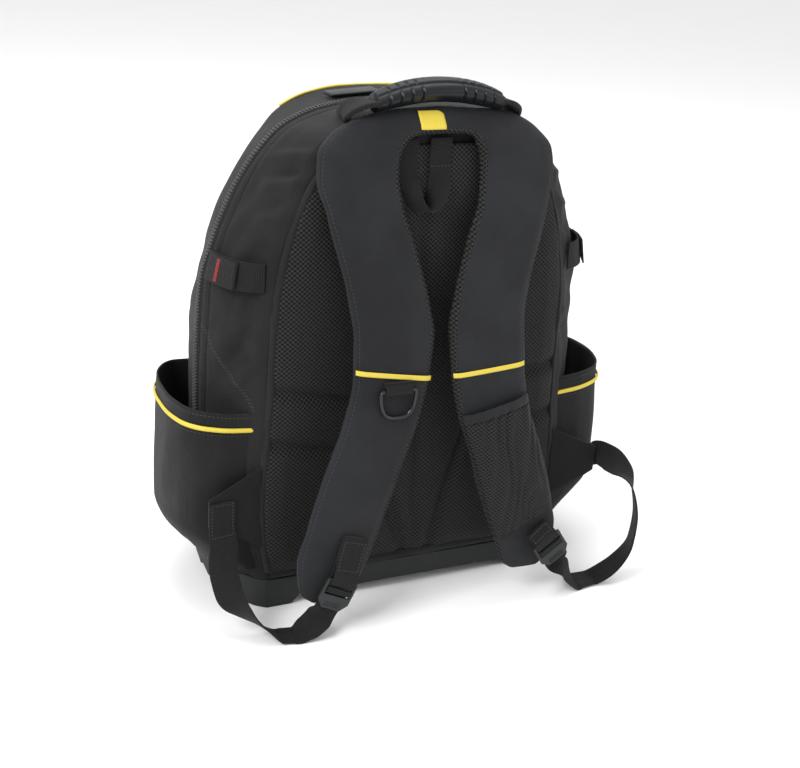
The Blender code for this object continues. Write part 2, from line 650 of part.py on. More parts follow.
# Side pockets: a bellows panel with a floor, sewn to the side of the bag and open at the top
def pocket_line(share_up, inset=0.0, out_share=None):
    """Plan of the pocket at a share of its height, drawn in by an inset, as (across, depth, height)."""
    line = []
    for along in POCKET_STOPS:
        out = read(POCKET_PLAN, along)[0]
        full = read(POCKET_HEIGHTS, share_up)[0] if out_share is None else out_share
        y = POCKET_REAR + inset + (POCKET_LENGTH - 2 * inset) * along
        z = POCKET_BOTTOM + (POCKET_RIM - POCKET_BOTTOM + POCKET_RIM_RISE * out) * share_up
        seat = body_half(y, z) + POCKET_SEAT
        line.append(Vector((seat + (pocket_half - inset - seat) * out * full, y, z)))
    return line


def stand_off(line, lift):
    """A line moved sideways by a lift, away from the bag, in plan."""
    moved = []
    for i, point in enumerate(line):
        ahead = line[min(i + 1, len(line) - 1)] - line[max(i - 1, 0)]
        away = Vector((ahead.y, -ahead.x, 0.0)).normalized()
        moved.append(point + away * lift)
    return moved


def to_side(rows, side):
    return [[(side * p[0], p[1], p[2]) for p in row] for row in rows]


def raised(line, height):
    return [Vector((p.x, p.y, height)) for p in line]


POCKET_STOPS = (0.0, 0.004, 0.02, 0.06, 0.12, 0.20, 0.33, 0.42, 0.50, 0.58, 0.68, 0.80, 0.90, 0.96, 0.99, 1.0)
POCKET_STATIONS = (0.0, 0.06, 0.15, 0.28, 0.50, 0.75, 1.0)
floor_top = POCKET_BOTTOM + POCKET_WALL
for side_name, side in (("left", -1), ("right", 1)):
    against_bag = pocket_line(0.0, 0.0, 0.0)
    rows = [pocket_line(0.0) + against_bag[::-1]]
    rows.append(raised(pocket_line(0.0), floor_top) + raised(against_bag, floor_top)[::-1])
    rows.append(raised(pocket_line(0.0), floor_top) + raised(pocket_line(0.0, POCKET_WALL), floor_top)[::-1])
    rows += [pocket_line(share) + pocket_line(share, POCKET_WALL)[::-1] for share in POCKET_STATIONS[1:]]
    place("side_pocket_" + side_name, mesh_from(
        skin(to_side(rows, side), closed=True, capped=True), "pocket"), (0.020, 0.021, 0.023), 0.8)
    rows = []
    for drop in (PIPING_DROP + PIPING_WIDTH, PIPING_DROP):
        line = pocket_line(1 - drop / (POCKET_RIM - POCKET_BOTTOM))
        rows.append(stand_off(line[2:-2], 2 * GAP))
    thicken(place("pocket_piping_" + side_name, mesh_from(skin(to_side(rows, side)), "piping", body_middle),
                  (0.85, 0.70, 0.06), 0.6), PIPING_THICKNESS, outwards=True)

# Wings: triangles of cloth sewn into the back corner seams, which carry the adjuster webbing
for side_name, side in (("left", -1), ("right", 1)):
    rows = [[(body_half(0.0, low) - WING_SEAM, -GAP, low), (WING_OUT, -WING_BACK, tip)]
            for low, tip in ((WING_BOTTOM, WING_TIP_BOTTOM), (WING_TOP, WING_TIP_TOP))]
    bm = skin(to_side(rows, side))
    thicken(place("wing_" + side_name, mesh_from(bm, "wing", body_middle), (0.018, 0.019, 0.021), 0.8), WALL,
            outwards=True)

# Ladder-lock buckles: a moulded frame of three bars with a lifting tab, on each strap's lower end.
# Columns: its upper edge across and up from the strap's end, swing of its tab outwards, its keeper's top
# across and up from the strap's end.
BUCKLES = {
    "left": (-0.009, 0.024, 0.45, -0.022, 0.063),
    "right": (0.014, 0.031, 0.60, 0.006, 0.041),
}


def buckle_curve(name):
    """Frame, slots and tab of a buckle, lying flat: its upper edge on the X axis, its tab towards -Y."""
    wide = BUCKLE_WIDTH / 2
    tab_end = -BUCKLE_LENGTH - BUCKLE_TAB
    outlines = [[(-wide, 0.0), (wide, 0.0), (wide, -BUCKLE_LENGTH), (wide * 0.62, tab_end),
                 (-wide * 0.62, tab_end), (-wide, -BUCKLE_LENGTH)]]
    for top in (-BUCKLE_BAR, -2 * BUCKLE_BAR - BUCKLE_SLOT):
        low = top - BUCKLE_SLOT
        outlines.append([(-BUCKLE_CLEAR, top), (-BUCKLE_CLEAR, low), (BUCKLE_CLEAR, low), (BUCKLE_CLEAR, top)])
    curve = bpy.data.curves.new(name, "CURVE")
    curve.dimensions = "2D"
    curve.fill_mode = "BOTH"
    curve.extrude = BUCKLE_THICKNESS / 2
    for points in outlines:
        spline = curve.splines.new("POLY")
        spline.points.add(len(points) - 1)
        for point, (x, y) in zip(spline.points, points):
            point.co = (x, y, 0.0, 1.0)
        spline.use_cyclic_u = True
    return curve


def buckle_frame(side_name, side):
    """Place and turn of a buckle: upright, facing the wearer, its tab swung outwards."""
    across, up, swing = BUCKLES[side_name][:3]
    strap_y = strap_section(1.0 - up / strap_drop)[2]
    turn = Euler((math.pi / 2, -side * swing, 0.0))
    spot = Vector((side * (STRAP_SPREAD + across), strap_y - BUCKLE_STAND, STRAP_END + up))
    return Matrix.LocRotScale(spot, turn, None)


def in_buckle(matrix, down, out):
    """Point on the buckle's centre line, some way down from its upper edge and out towards the wearer."""
    return matrix @ Vector((0.0, -down, out))


def root_of(value):
    return math.copysign(math.sqrt(abs(value)), value)


layer_out = BUCKLE_THICKNESS / 2 + WEBBING_THICKNESS / 2 + 2 * GAP
bar_middle = BUCKLE_BAR / 2
below_bar = bar_middle + WEBBING_THICKNESS / 2 + GAP
for side_name, side in (("left", -1), ("right", 1)):
    matrix = buckle_frame(side_name, side)
    buckle = place("ladder_lock_" + side_name, buckle_curve("ladder_lock"), (0.05, 0.055, 0.055), 0.35)
    buckle.matrix_local = matrix
    weld = buckle.modifiers.new("caps", "WELD")
    weld.merge_threshold = 0.00001
    width_way = matrix.to_3x3() @ Vector((1.0, 0.0, 0.0))
    top_across, top_up = BUCKLES[side_name][3:]
    patch_y = -STRAP_BOW - WEBBING_THICKNESS / 2 - 3 * GAP
    patch_top = Vector((side * (STRAP_SPREAD + top_across), patch_y, STRAP_END + top_up))
    patch_low = in_buckle(matrix, -BUCKLE_BAR, -layer_out)
    turns = [in_buckle(matrix, bar_middle + below_bar * root_of(math.cos(a)), layer_out * root_of(math.sin(a)))
             for a in np.linspace(-math.pi / 2, math.pi / 2, 9)]
    over_bar = in_buckle(matrix, -BUCKLE_BAR, layer_out)
    lift = Vector((0.0, -WEBBING_THICKNESS - 2 * GAP, 0.0))
    joined = patch_top.lerp(patch_low, 0.5)
    way = [patch_top, joined, patch_low] + turns + [over_bar, joined + lift, patch_top + lift]
    place("buckle_keeper_" + side_name, mesh_from(
        ribbon([(*point, *width_way) for point in way], WEBBING_WIDTH, WEBBING_THICKNESS, 1), "buckle_keeper"),
        (0.016, 0.016, 0.015), 0.85)

# D-ring in its webbing keeper, on the left strap; it turns on its straight bar
ring_face = strap_face(-1, ring_height, 0.0, 0.0)
ring_bar = Vector((RING_ACROSS, ring_face.y - 2 * GAP - KEEPER_THICKNESS - RING_PLAY - RING_WIRE, ring_height))
ring_axis = bpy.data.objects.new("ring_axis", None)
ring_axis.location = ring_bar
ring_axis.parent = frame
collection.objects.link(ring_axis)
ring_line = [(RING_HALF, 0.0, 0.0), (-RING_HALF, 0.0, 0.0)]
ring_line += [(-RING_HALF * math.cos(a), 0.0, -RING_DROP * math.sin(a)) for a in np.linspace(0, math.pi, 15)[1:-1]]
ring = tube("d_ring", ring_line, RING_WIRE, (0.02, 0.02, 0.022), 0.4, closed=True, sides=1)
ring.parent = ring_axis
mid_radius = RING_WIRE + RING_PLAY + KEEPER_THICKNESS / 2
under = ring_bar.y + mid_radius
outer_layer = under - KEEPER_THICKNESS - 2 * GAP
keeper_top = ring_height + KEEPER_RISE
turns = [(RING_ACROSS, ring_bar.y + mid_radius * math.cos(math.pi * share),
          ring_height - mid_radius * math.sin(math.pi * share), 1.0, 0.0, 0.0) for share in np.linspace(0, 1, 7)]
keeper = [(RING_ACROSS, under, keeper_top, 1.0, 0.0, 0.0)] + turns + [
    (RING_ACROSS, ring_bar.y - mid_radius * 0.6, ring_height + mid_radius * 1.2, 1.0, 0.0, 0.0),
    (RING_ACROSS, outer_layer, ring_height + KEEPER_RISE * 0.73, 1.0, 0.0, 0.0),
    (RING_ACROSS, outer_layer, keeper_top, 1.0, 0.0, 0.0)]
place("ring_keeper", mesh_from(ribbon(keeper, KEEPER_WIDTH, KEEPER_THICKNESS, 1), "ring_keeper"),
      (0.016, 0.016, 0.015), 0.85)

# Phone pocket: gathered mesh on the right strap, open at the top under a binding
def phone_line(height, lift):
    """The pocket's section at a height, standing off the strap's face in the middle."""
    line = []
    rise = read(PHONE_HEIGHTS, (height - PHONE_BOTTOM) / (PHONE_TOP - PHONE_BOTTOM))[0]
    for share in (-1.0, -0.8, -0.43, 0.0, 0.43, 0.8, 1.0):
        across = PHONE_EDGE * share
        bulge = PHONE_BULGE * rise * (1 - across**4)
        line.append(strap_face(1, height, across, 2 * GAP + lift + bulge))
    return line


phone_rows = [phone_line(z, 0.0) for z in np.linspace(PHONE_BOTTOM, PHONE_TOP - PHONE_BAND - GAP, 8)]
thicken(place("phone_pocket", mesh_from(skin(phone_rows), "phone_pocket", (STRAP_SPREAD, BODY_DEPTH, PHONE_TOP)),
              (0.012, 0.012, 0.013), 0.9), PHONE_WALL, outwards=True)
band_rows = [phone_line(z, 0.0) for z in (PHONE_TOP - PHONE_BAND, PHONE_TOP)]
thicken(place("phone_pocket_band", mesh_from(skin(band_rows), "phone_band", (STRAP_SPREAD, BODY_DEPTH, PHONE_TOP)),
              (0.018, 0.019, 0.021), 0.8), PHONE_WALL, outwards=True)

# Side straps: webbing from the zip's edge back to the corner seam, with a free tab over it
def beside(depth, lift):
    """Point off the side of the bag at the side strap's height, then the way the side slopes there."""
    low = body_half(depth, SIDE_STRAP_HEIGHT - WEBBING_WIDTH / 2)
    high = body_half(depth, SIDE_STRAP_HEIGHT + WEBBING_WIDTH / 2)
    return (low + high) / 2 + lift, depth, SIDE_STRAP_HEIGHT, high - low, 0.0, WEBBING_WIDTH


strap_lift = WEBBING_THICKNESS / 2 + 3 * GAP
tab_lift = strap_lift + WEBBING_THICKNESS + 4 * GAP
side_strap = [beside(ZIP_DEPTH * depth, strap_lift + SIDE_STRAP_STAND * stand) for depth, stand in SIDE_STRAP]
side_tab = [beside(ZIP_DEPTH * depth, tab_lift + SIDE_STRAP_STAND * stand) for depth, stand in SIDE_TAB]
for side_name, side in (("left", -1), ("right", 1)):
    place("side_strap_" + side_name, mesh_from(
        ribbon(mirrored(side_strap, side), WEBBING_WIDTH, WEBBING_THICKNESS, 3), "side_strap"),
        (0.016, 0.016, 0.015), 0.85)
    place("side_tab_" + side_name, mesh_from(
        ribbon(mirrored(side_tab, side), WEBBING_WIDTH - 4 * GAP, WEBBING_THICKNESS, 3), "side_tab"),
        (0.016, 0.016, 0.015), 0.85)

# Adjuster webbing: from each wing down past the base, along the floor and up to the buckle.
# The left band falls straight from its wing, the right one swings out before it falls.
# Columns: out, back and up as shares of a loop, then the way its width lies.
LOOPS = {
    "left": [
        (0.898, -0.118, 1.008, 1.00, -0.116, 0.05),
        (0.898, -0.121, 0.830, 1.00, -0.116, 0.05),
        (0.893, -0.167, 0.678, 1.00, 0.05, 0.00),
        (0.907, -0.288, 0.508, 0.95, 0.30, 0.00),
        (0.902, -0.485, 0.373, 0.85, 0.50, 0.00),
        (0.849, -0.652, 0.237, 0.60, 0.80, 0.00),
        (0.776, -0.727, 0.119, 0.35, 0.93, 0.00),
        (0.698, -0.758, 0.022, 0.10, 1.00, 0.00),
        (0.644, -0.788, 0.020, 0.10, 1.00, 0.00),
        (0.595, -0.833, 0.072, 0.35, 0.90, 0.15),
        (0.551, -0.879, 0.144, 0.75, 0.60, 0.00),
    ],
    "right": [
        (0.810, -0.020, 0.915, 0.00, 0.00, 1.00),
        (0.888, -0.045, 0.932, 0.00, 0.00, 1.00),
        (0.963, -0.053, 0.949, 0.05, 0.00, 1.00),
        (0.984, -0.135, 0.966, 0.15, 0.15, 1.00),
        (0.990, -0.333, 0.975, 0.30, 0.50, 0.80),
        (1.010, -0.606, 0.924, 0.45, 0.80, 0.40),
        (1.020, -0.879, 0.822, 0.45, 0.85, -0.10),
        (1.027, -1.000, 0.610, 0.42, 0.87, -0.15),
        (1.015, -1.015, 0.390, 0.40, 0.90, -0.10),
        (0.956, -0.939, 0.178, 0.20, 0.97, 0.00),
        (0.859, -0.788, 0.025, 0.05, 1.00, 0.00),
        (0.771, -0.818, 0.034, 0.05, 1.00, 0.10),
        (0.732, -0.879, 0.110, 0.40, 0.85, 0.20),
        (0.683, -0.924, 0.220, 0.80, 0.50, -0.30),
    ],
}
# Through the buckle: behind its lower bar, out through the lower slot and over its middle bar.
# Columns: steps down from the middle of that slot as shares of it, out as a share of a layer.
THREADING = [(5.00, -1.6), (3.00, -1.2), (0.38, -1.1), (0.00, 0.0), (-0.38, 1.1), (-1.35, 1.1)]
slot_middle = 2 * BUCKLE_BAR + 1.5 * BUCKLE_SLOT
for side_name, side in (("left", -1), ("right", 1)):
    matrix = buckle_frame(side_name, side)
    width_way = matrix.to_3x3() @ Vector((side, 0.0, 0.0))
    rows = mirrored([(x * LOOP_OUT, y * LOOP_REACH, z * LOOP_RISE, ax, ay, az)
                     for x, y, z, ax, ay, az in LOOPS[side_name]], side)
    rows += [(*in_buckle(matrix, slot_middle + down * BUCKLE_SLOT, out * layer_out), *width_way)
             for down, out in THREADING]
    place("adjuster_webbing_" + side_name, mesh_from(
        ribbon(rows, WEBBING_WIDTH, WEBBING_THICKNESS, 4), "adjuster_webbing"), (0.016, 0.016, 0.015), 0.85)
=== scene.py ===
"""Tool backpack standing on its moulded base, seen from the wearer's side."""
import json
import math

import bmesh
import bpy
import numpy as np
from mathutils import Euler, Matrix, Vector, noise
from mathutils.bvhtree import BVHTree


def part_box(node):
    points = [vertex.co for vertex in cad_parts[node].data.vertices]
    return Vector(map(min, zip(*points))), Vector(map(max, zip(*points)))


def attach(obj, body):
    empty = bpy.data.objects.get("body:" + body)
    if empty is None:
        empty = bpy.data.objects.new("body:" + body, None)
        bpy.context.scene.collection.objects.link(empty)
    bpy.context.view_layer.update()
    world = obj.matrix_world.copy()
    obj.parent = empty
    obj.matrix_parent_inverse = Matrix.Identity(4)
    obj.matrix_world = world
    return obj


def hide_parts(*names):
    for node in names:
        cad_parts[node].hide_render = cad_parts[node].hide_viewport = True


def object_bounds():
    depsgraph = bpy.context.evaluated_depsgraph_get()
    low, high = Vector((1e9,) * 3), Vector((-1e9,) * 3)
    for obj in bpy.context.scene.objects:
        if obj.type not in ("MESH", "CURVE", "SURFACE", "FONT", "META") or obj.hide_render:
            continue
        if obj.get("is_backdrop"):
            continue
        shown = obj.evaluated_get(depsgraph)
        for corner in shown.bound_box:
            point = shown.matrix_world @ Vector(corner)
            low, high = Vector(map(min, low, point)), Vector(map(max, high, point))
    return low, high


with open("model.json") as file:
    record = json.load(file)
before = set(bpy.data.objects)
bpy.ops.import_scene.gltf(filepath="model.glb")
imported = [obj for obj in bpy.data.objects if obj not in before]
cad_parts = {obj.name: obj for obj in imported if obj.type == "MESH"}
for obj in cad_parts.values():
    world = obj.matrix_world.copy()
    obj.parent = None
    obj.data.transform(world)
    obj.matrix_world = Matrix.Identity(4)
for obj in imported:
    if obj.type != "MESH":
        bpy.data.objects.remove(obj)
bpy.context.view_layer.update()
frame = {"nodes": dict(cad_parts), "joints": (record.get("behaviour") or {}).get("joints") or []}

# Bag: coated woven polyester over foam, cut as a domed back half and a deeper front half and sewn
# to a moulded base. A coiled zip runs round the whole bag between the halves. Depths are measured
# from the flat back of the bag, heights from the floor and widths from the middle.
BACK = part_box("back_body")[0].y
BAG_HALF = 0.188
BAG_DEPTH = 0.200
BAG_HEIGHT = 0.420
RIM = 0.0303
ZIP_AT = 0.060
ZIP_WIDE = 0.009
CLOTH_WALL = 0.002
# Height that the outline shrinks or swells about, and about how far the top is above it.
MIDDLE = 0.200
TO_TOP = 0.240
# Left and right as the photograph shows them, and which way across each lies.
SIDES = (("left", -1), ("right", 1))
# Half widths up the side of the bag. Columns: height, at the back, at the belly, at the front.
ARCH = [
    (0.000, 0.770, 0.926, 0.840), (0.100, 0.812, 0.955, 0.848), (0.200, 0.828, 0.978, 0.852),
    (0.405, 0.803, 1.000, 0.845), (0.620, 0.787, 0.985, 0.775), (0.726, 0.755, 0.925, 0.700),
    (0.845, 0.676, 0.810, 0.570), (0.910, 0.600, 0.708, 0.470), (0.952, 0.520, 0.610, 0.390),
    (0.985, 0.370, 0.430, 0.270), (0.998, 0.190, 0.220, 0.140), (1.000, 0.000, 0.000, 0.000),
]
# Columns: depth, form from back to belly to front, width, drop of the top.
SECTIONS = [
    (0.000, 0.00, 0.955, 0.030), (0.035, 0.08, 1.000, 0.006), (0.150, 0.65, 1.000, 0.000),
    (0.300, 1.00, 1.000, 0.000), (0.475, 1.20, 1.000, 0.000), (0.620, 1.45, 1.000, 0.000),
    (0.760, 1.75, 1.000, 0.018), (0.890, 2.00, 0.985, 0.043), (0.965, 2.00, 0.930, 0.083),
    (1.000, 2.00, 0.830, 0.138),
]
# Folds and dents of the cloth. Columns: from a point, to a point, how wide, how deep.
BAG_FOLDS = [
    ((-0.150, 0.006, 0.395), (-0.172, 0.040, 0.330), 0.0080, -0.0030),
    ((-0.140, 0.010, 0.408), (-0.168, 0.045, 0.345), 0.0060, 0.0026),
    ((-0.152, 0.004, 0.375), (-0.168, 0.030, 0.318), 0.0050, 0.0022),
    ((-0.150, 0.005, 0.300), (-0.180, 0.050, 0.262), 0.0080, -0.0026),
    ((-0.152, 0.005, 0.290), (-0.184, 0.050, 0.232), 0.0090, 0.0022),
    ((-0.186, 0.062, 0.300), (-0.170, 0.150, 0.230), 0.0140, 0.0030),
    ((-0.184, 0.064, 0.330), (-0.160, 0.150, 0.300), 0.0120, -0.0024),
    ((-0.118, 0.002, 0.432), (-0.150, 0.012, 0.392), 0.0060, 0.0050),
    ((-0.128, 0.002, 0.418), (-0.156, 0.014, 0.372), 0.0050, -0.0046),
    ((-0.140, 0.002, 0.400), (-0.158, 0.014, 0.350), 0.0040, 0.0042),
    ((-0.150, 0.004, 0.372), (-0.158, 0.020, 0.300), 0.0050, -0.0036),
    ((-0.154, 0.006, 0.345), (-0.164, 0.024, 0.270), 0.0050, 0.0036),
    ((-0.152, 0.006, 0.280), (-0.172, 0.034, 0.215), 0.0060, -0.0038),
    ((-0.150, 0.004, 0.250), (-0.166, 0.028, 0.205), 0.0050, 0.0034),
    ((-0.100, 0.040, 0.446), (-0.160, 0.050, 0.378), 0.0090, 0.0030),
    ((0.118, 0.002, 0.432), (0.150, 0.012, 0.392), 0.0060, 0.0030),
    ((0.150, 0.006, 0.395), (0.172, 0.040, 0.330), 0.0080, -0.0030),
    ((0.152, 0.005, 0.300), (0.180, 0.050, 0.262), 0.0080, -0.0026),
    ((0.186, 0.062, 0.300), (0.170, 0.150, 0.240), 0.0140, 0.0030),
]


def read(rows, place):
    """Columns of a table at any place in its first column, on a smooth curve through its rows."""
    table = np.array(rows, dtype=float)
    knots = table[:, 0]
    values = table[:, 1:]
    steps = np.diff(knots)[:, None]
    slopes = np.diff(values, axis=0) / steps
    tangents = np.vstack([slopes[:1], np.zeros_like(slopes[1:]), slopes[-1:]])
    same_way = slopes[:-1] * slopes[1:] > 0
    mean = np.zeros_like(slopes[1:])
    np.divide(2 * slopes[:-1] * slopes[1:], slopes[:-1] + slopes[1:], out=mean, where=same_way)
    tangents[1:-1] = mean
    place = min(max(place, knots[0]), knots[-1])
    row = min(int(np.searchsorted(knots, place, side="right")) - 1, len(knots) - 2)
    step = steps[row, 0]
    t = (place - knots[row]) / step
    return ((2 * t**3 - 3 * t**2 + 1) * values[row] + (t**3 - 2 * t**2 + t) * step * tangents[row]
            + (3 * t**2 - 2 * t**3) * values[row + 1] + (t**3 - t**2) * step * tangents[row + 1])


def arch_line(depth, turns=199):
    """Half of the bag's outline at a depth, as (across, height) from the base rim to the top."""
    form, width, drop = read(SECTIONS, depth / BAG_DEPTH)
    numbered = [(row, *columns) for row, columns in enumerate(ARCH)]
    line = []
    for turn in np.linspace(0, len(ARCH) - 1, turns):
        height, back, belly, front = read(numbered, turn)
        share = back + (belly - back) * form if form < 1 else belly + (front - belly) * (form - 1)
        line.append((BAG_HALF * width * share, RIM + BAG_HEIGHT * (1 - drop) * height))
    return line


arches = {}


def arch_at(depth):
    """The outline at a depth, worked out once and kept."""
    key = round(depth, 5)
    if key not in arches:
        arches[key] = np.array(arch_line(key))
    return arches[key]


def bag_half(depth, height):
    """Half width of the bag at a depth and a height."""
    line = arch_at(depth)
    return float(np.interp(height, line[:, 1], line[:, 0]))


def bag_top(depth, across):
    """Height of the top of the bag at a depth, above a place across it."""
    line = arch_at(depth)
    upper = line[line[:, 1] > RIM + BAG_HEIGHT * 0.6]
    return float(np.interp(abs(across), upper[::-1, 0], upper[::-1, 1]))


def bag_loop(depth):
    """Closed outline of the bag at a depth: up one side, over the top, down the other, along the floor."""
    half = arch_at(depth)
    loop = [(x, depth, z) for x, z in half]
    loop += [(-x, depth, z) for x, z in half[-2::-1]]
    floor = half[0][0]
    loop += [(floor * share, depth, half[0][1]) for share in np.linspace(-0.9, 0.9, 13)]
    return loop


def swollen(depth, out):
    """Outline of the bag at a depth, moved out by a distance, or in where it is negative."""
    return [(x * (1 + out / BAG_HALF), y, MIDDLE + (z - MIDDLE) * (1 + out / TO_TOP))
            for x, y, z in bag_loop(depth)]


def shrunk(loop, share, depth, middle):
    """A loop drawn in to a share of its size about a height, at a depth."""
    return [(x * share, depth, middle + (z - middle) * share) for x, _, z in loop]


def skin(rows, closed=False, capped=False):
    """Faces between rows of points, each row closed into a loop or left open, with flat ends if wanted."""
    bm = bmesh.new()
    lines = [[bm.verts.new(point) for point in row] for row in rows]
    count = len(lines[0])
    for low, high in zip(lines, lines[1:]):
        for i in range(count if closed else count - 1):
            bm.faces.new((low[i], low[(i + 1) % count], high[(i + 1) % count], high[i]))
    if capped:
        bm.faces.new(lines[0])
        bm.faces.new(lines[-1])
    return bm


def tidy(bm, away_from=None):
    """Merge doubles and face outwards, or away from a point where the surface is open."""
    bmesh.ops.remove_doubles(bm, verts=bm.verts, dist=1e-6)
    bmesh.ops.recalc_face_normals(bm, faces=bm.faces)
    if away_from is not None:
        centre = Vector(away_from)
        facing = sum(f.normal.dot(f.calc_center_median() - centre) * f.calc_area() for f in bm.faces)
        if facing < 0:
            bmesh.ops.reverse_faces(bm, faces=bm.faces)
    bm.normal_update()
    return bm


def press(bm, folds=(), waves=(), seam=None):
    """Push a surface in and out along its normals, by a table of folds and by smooth waves.

    A seam is a depth at which the surface is held, and how far from it the cloth is free again.
    """
    verts = list(bm.verts)
    points = np.array([v.co for v in verts])
    lift = np.zeros(len(points))
    for start, end, wide, deep in folds:
        a = np.array(start)
        way = np.array(end) - a
        along = np.clip((points - a) @ way / (way @ way), 0, 1)
        apart = np.linalg.norm(points - a - along[:, None] * way, axis=1)
        lift += deep * np.exp(-(apart / wide) ** 2) * np.sin(np.pi * (0.12 + 0.76 * along))
    for size, deep, seed in waves:
        lift += deep * np.array([noise.noise(Vector(p / size) + Vector((seed, 0, 0))) for p in points])
    if seam:
        free = np.clip(np.abs(points[:, 1] - seam[0]) / seam[1], 0, 1)
        lift *= free * free * (3 - 2 * free)
    for v, amount in zip(verts, lift):
        v.co += v.normal * amount
    bm.normal_update()
    return bm


class Wire:
    """A value on its way through a finish's nodes. Sums and products of wires add Math nodes."""

    def __init__(self, finish, socket):
        self.finish = finish
        self.socket = socket

    def maths(self, operation, *values):
        node = self.finish.add("ShaderNodeMath", {"operation": operation}, *values)
        return Wire(self.finish, node.outputs[0])

    def __add__(self, other):
        return self.maths("ADD", self, other)

    def __radd__(self, other):
        return self.maths("ADD", other, self)

    def __sub__(self, other):
        return self.maths("SUBTRACT", self, other)

    def __rsub__(self, other):
        return self.maths("SUBTRACT", other, self)

    def __mul__(self, other):
        return self.maths("MULTIPLY", self, other)

    def __rmul__(self, other):
        return self.maths("MULTIPLY", other, self)

    def __gt__(self, other):
        return self.maths("GREATER_THAN", self, other)

    def wave(self):
        return self.maths("SINE", self)

    def size(self):
        return self.maths("ABSOLUTE", self)

    def soft(self, low, high):
        """0 below low, 1 above high, smooth between."""
        smooth = {"interpolation_type": "SMOOTHSTEP"}
        node = self.finish.add("ShaderNodeMapRange", smooth, self, low, high, 0.0, 1.0)
        return Wire(self.finish, node.outputs[0])


class Finish:
    """A material and the nodes that vary it over the surface. Settings that don't vary go on its shader."""

    def __init__(self, name, colour, roughness, **constants):
        self.material = bpy.data.materials.new(name)
        self.material.use_nodes = True
        self.nodes = self.material.node_tree.nodes
        self.links = self.material.node_tree.links
        self.shader = self.nodes["Principled BSDF"]
        self.colour = colour
        self.shader.inputs["Base Color"].default_value = (*colour, 1.0)
        self.shader.inputs["Roughness"].default_value = roughness
        for socket, value in constants.items():
            self.shader.inputs[socket.replace("_", " ")].default_value = value

    def join(self, value, socket):
        if isinstance(value, Wire):
            value = value.socket
        if isinstance(value, bpy.types.NodeSocket):
            self.links.new(value, socket)
        elif value is not None:
            socket.default_value = value

    def add(self, kind, settings=None, *values, **named):
        """A node of one type: its settings are set first, then its sockets, in order or by name."""
        node = self.nodes.new(kind)
        for setting, value in (settings or {}).items():
            setattr(node, setting, value)
        for value, socket in zip(values, node.inputs):
            self.join(value, socket)
        for socket, value in named.items():
            self.join(value, node.inputs[socket.replace("_", " ")])
        return node

    def place(self, kind="Object"):
        return self.add("ShaderNodeTexCoord").outputs[kind]

    def parts(self, vector):
        split = self.add("ShaderNodeSeparateXYZ", None, vector)
        return [Wire(self, socket) for socket in split.outputs]

    def grain(self, vector, scale, detail=2.0, stretch=None):
        if stretch:
            vector = self.add("ShaderNodeMapping", None, vector, Scale=stretch).outputs[0]
        cloudy = self.add("ShaderNodeTexNoise", None, Vector=vector, Scale=scale, Detail=detail)
        return Wire(self, cloudy.outputs[0])

    def between(self, share, dark, light):
        node = self.add("ShaderNodeMix", {"data_type": "RGBA"})
        self.join(share, node.inputs["Factor"])
        node.inputs[6].default_value = (*dark, 1.0)
        node.inputs[7].default_value = (*light, 1.0)
        return node.outputs[2]

    def tint(self, share, spread):
        """Base colour that varies to both sides of the finish's own."""
        dark = [c * (1 - spread) for c in self.colour]
        light = [c * (1 + spread) for c in self.colour]
        self.join(self.between(share, dark, light), self.shader.inputs["Base Color"])

    def roughen(self, wire):
        self.join(wire, self.shader.inputs["Roughness"])

    def raise_by(self, height, distance, strength=1.0):
        bump = self.add("ShaderNodeBump", None, Height=height, Distance=distance, Strength=strength)
        self.join(bump.outputs[0], self.shader.inputs["Normal"])


def grained(name, colour, roughness, tint, bump=None, gloss=None, **constants):
    """Material with an uneven tint and, where given, a grain in its relief and in its roughness.

    Tint is scale and spread, bump is scale, distance and strength, gloss is least, scale and spread.
    """
    finish = Finish(name, colour, roughness, **constants)
    at = finish.place()
    finish.tint(finish.grain(at, tint[0]), tint[1])
    if gloss:
        finish.roughen(gloss[0] + finish.grain(at, gloss[1]) * gloss[2])
    if bump:
        finish.raise_by(finish.grain(at, bump[0]), bump[1], bump[2])
    return finish.material


def woven_cloth(name, colour, thread=0.0011, rough=0.72):
    """Plain weave polyester with a faint sheen: crossed threads, uneven dye and slubs."""
    cloth = Finish(name, colour, rough, Sheen_Weight=0.05, Sheen_Roughness=0.5, Specular_IOR_Level=0.17)
    at = cloth.place()
    x, y, z = cloth.parts(at)
    pitch = 2 * math.pi / thread
    weft = ((z * pitch).wave() * ((x + y) * pitch).wave()).size()
    slub = cloth.grain(at, 900.0, 2.0, (1.0, 1.0, 0.35))
    dye = cloth.grain(at, 14.0, 3.0)
    cloth.tint(slub * 0.5 + dye.soft(0.36, 0.64) * 0.5, 0.50)
    cloth.roughen(rough - 0.10 + slub * 0.2)
    crease = cloth.grain(at, 30.0, 3.0, (1.0, 1.0, 0.6))
    cloth.raise_by(weft * 0.6 + slub * 0.8 + crease * 9.0, 0.0004, 0.75)
    return cloth.material


def mesh_from(name, bm):
    """Mesh of a bmesh, which is then freed."""
    mesh = bpy.data.meshes.new(name)
    bm.to_mesh(mesh)
    bm.free()
    return mesh


def placed(name, data):
    """Object in the scene for a mesh, curve, light or camera."""
    made = bpy.data.objects.new(name, data)
    bpy.context.scene.collection.objects.link(made)
    return made


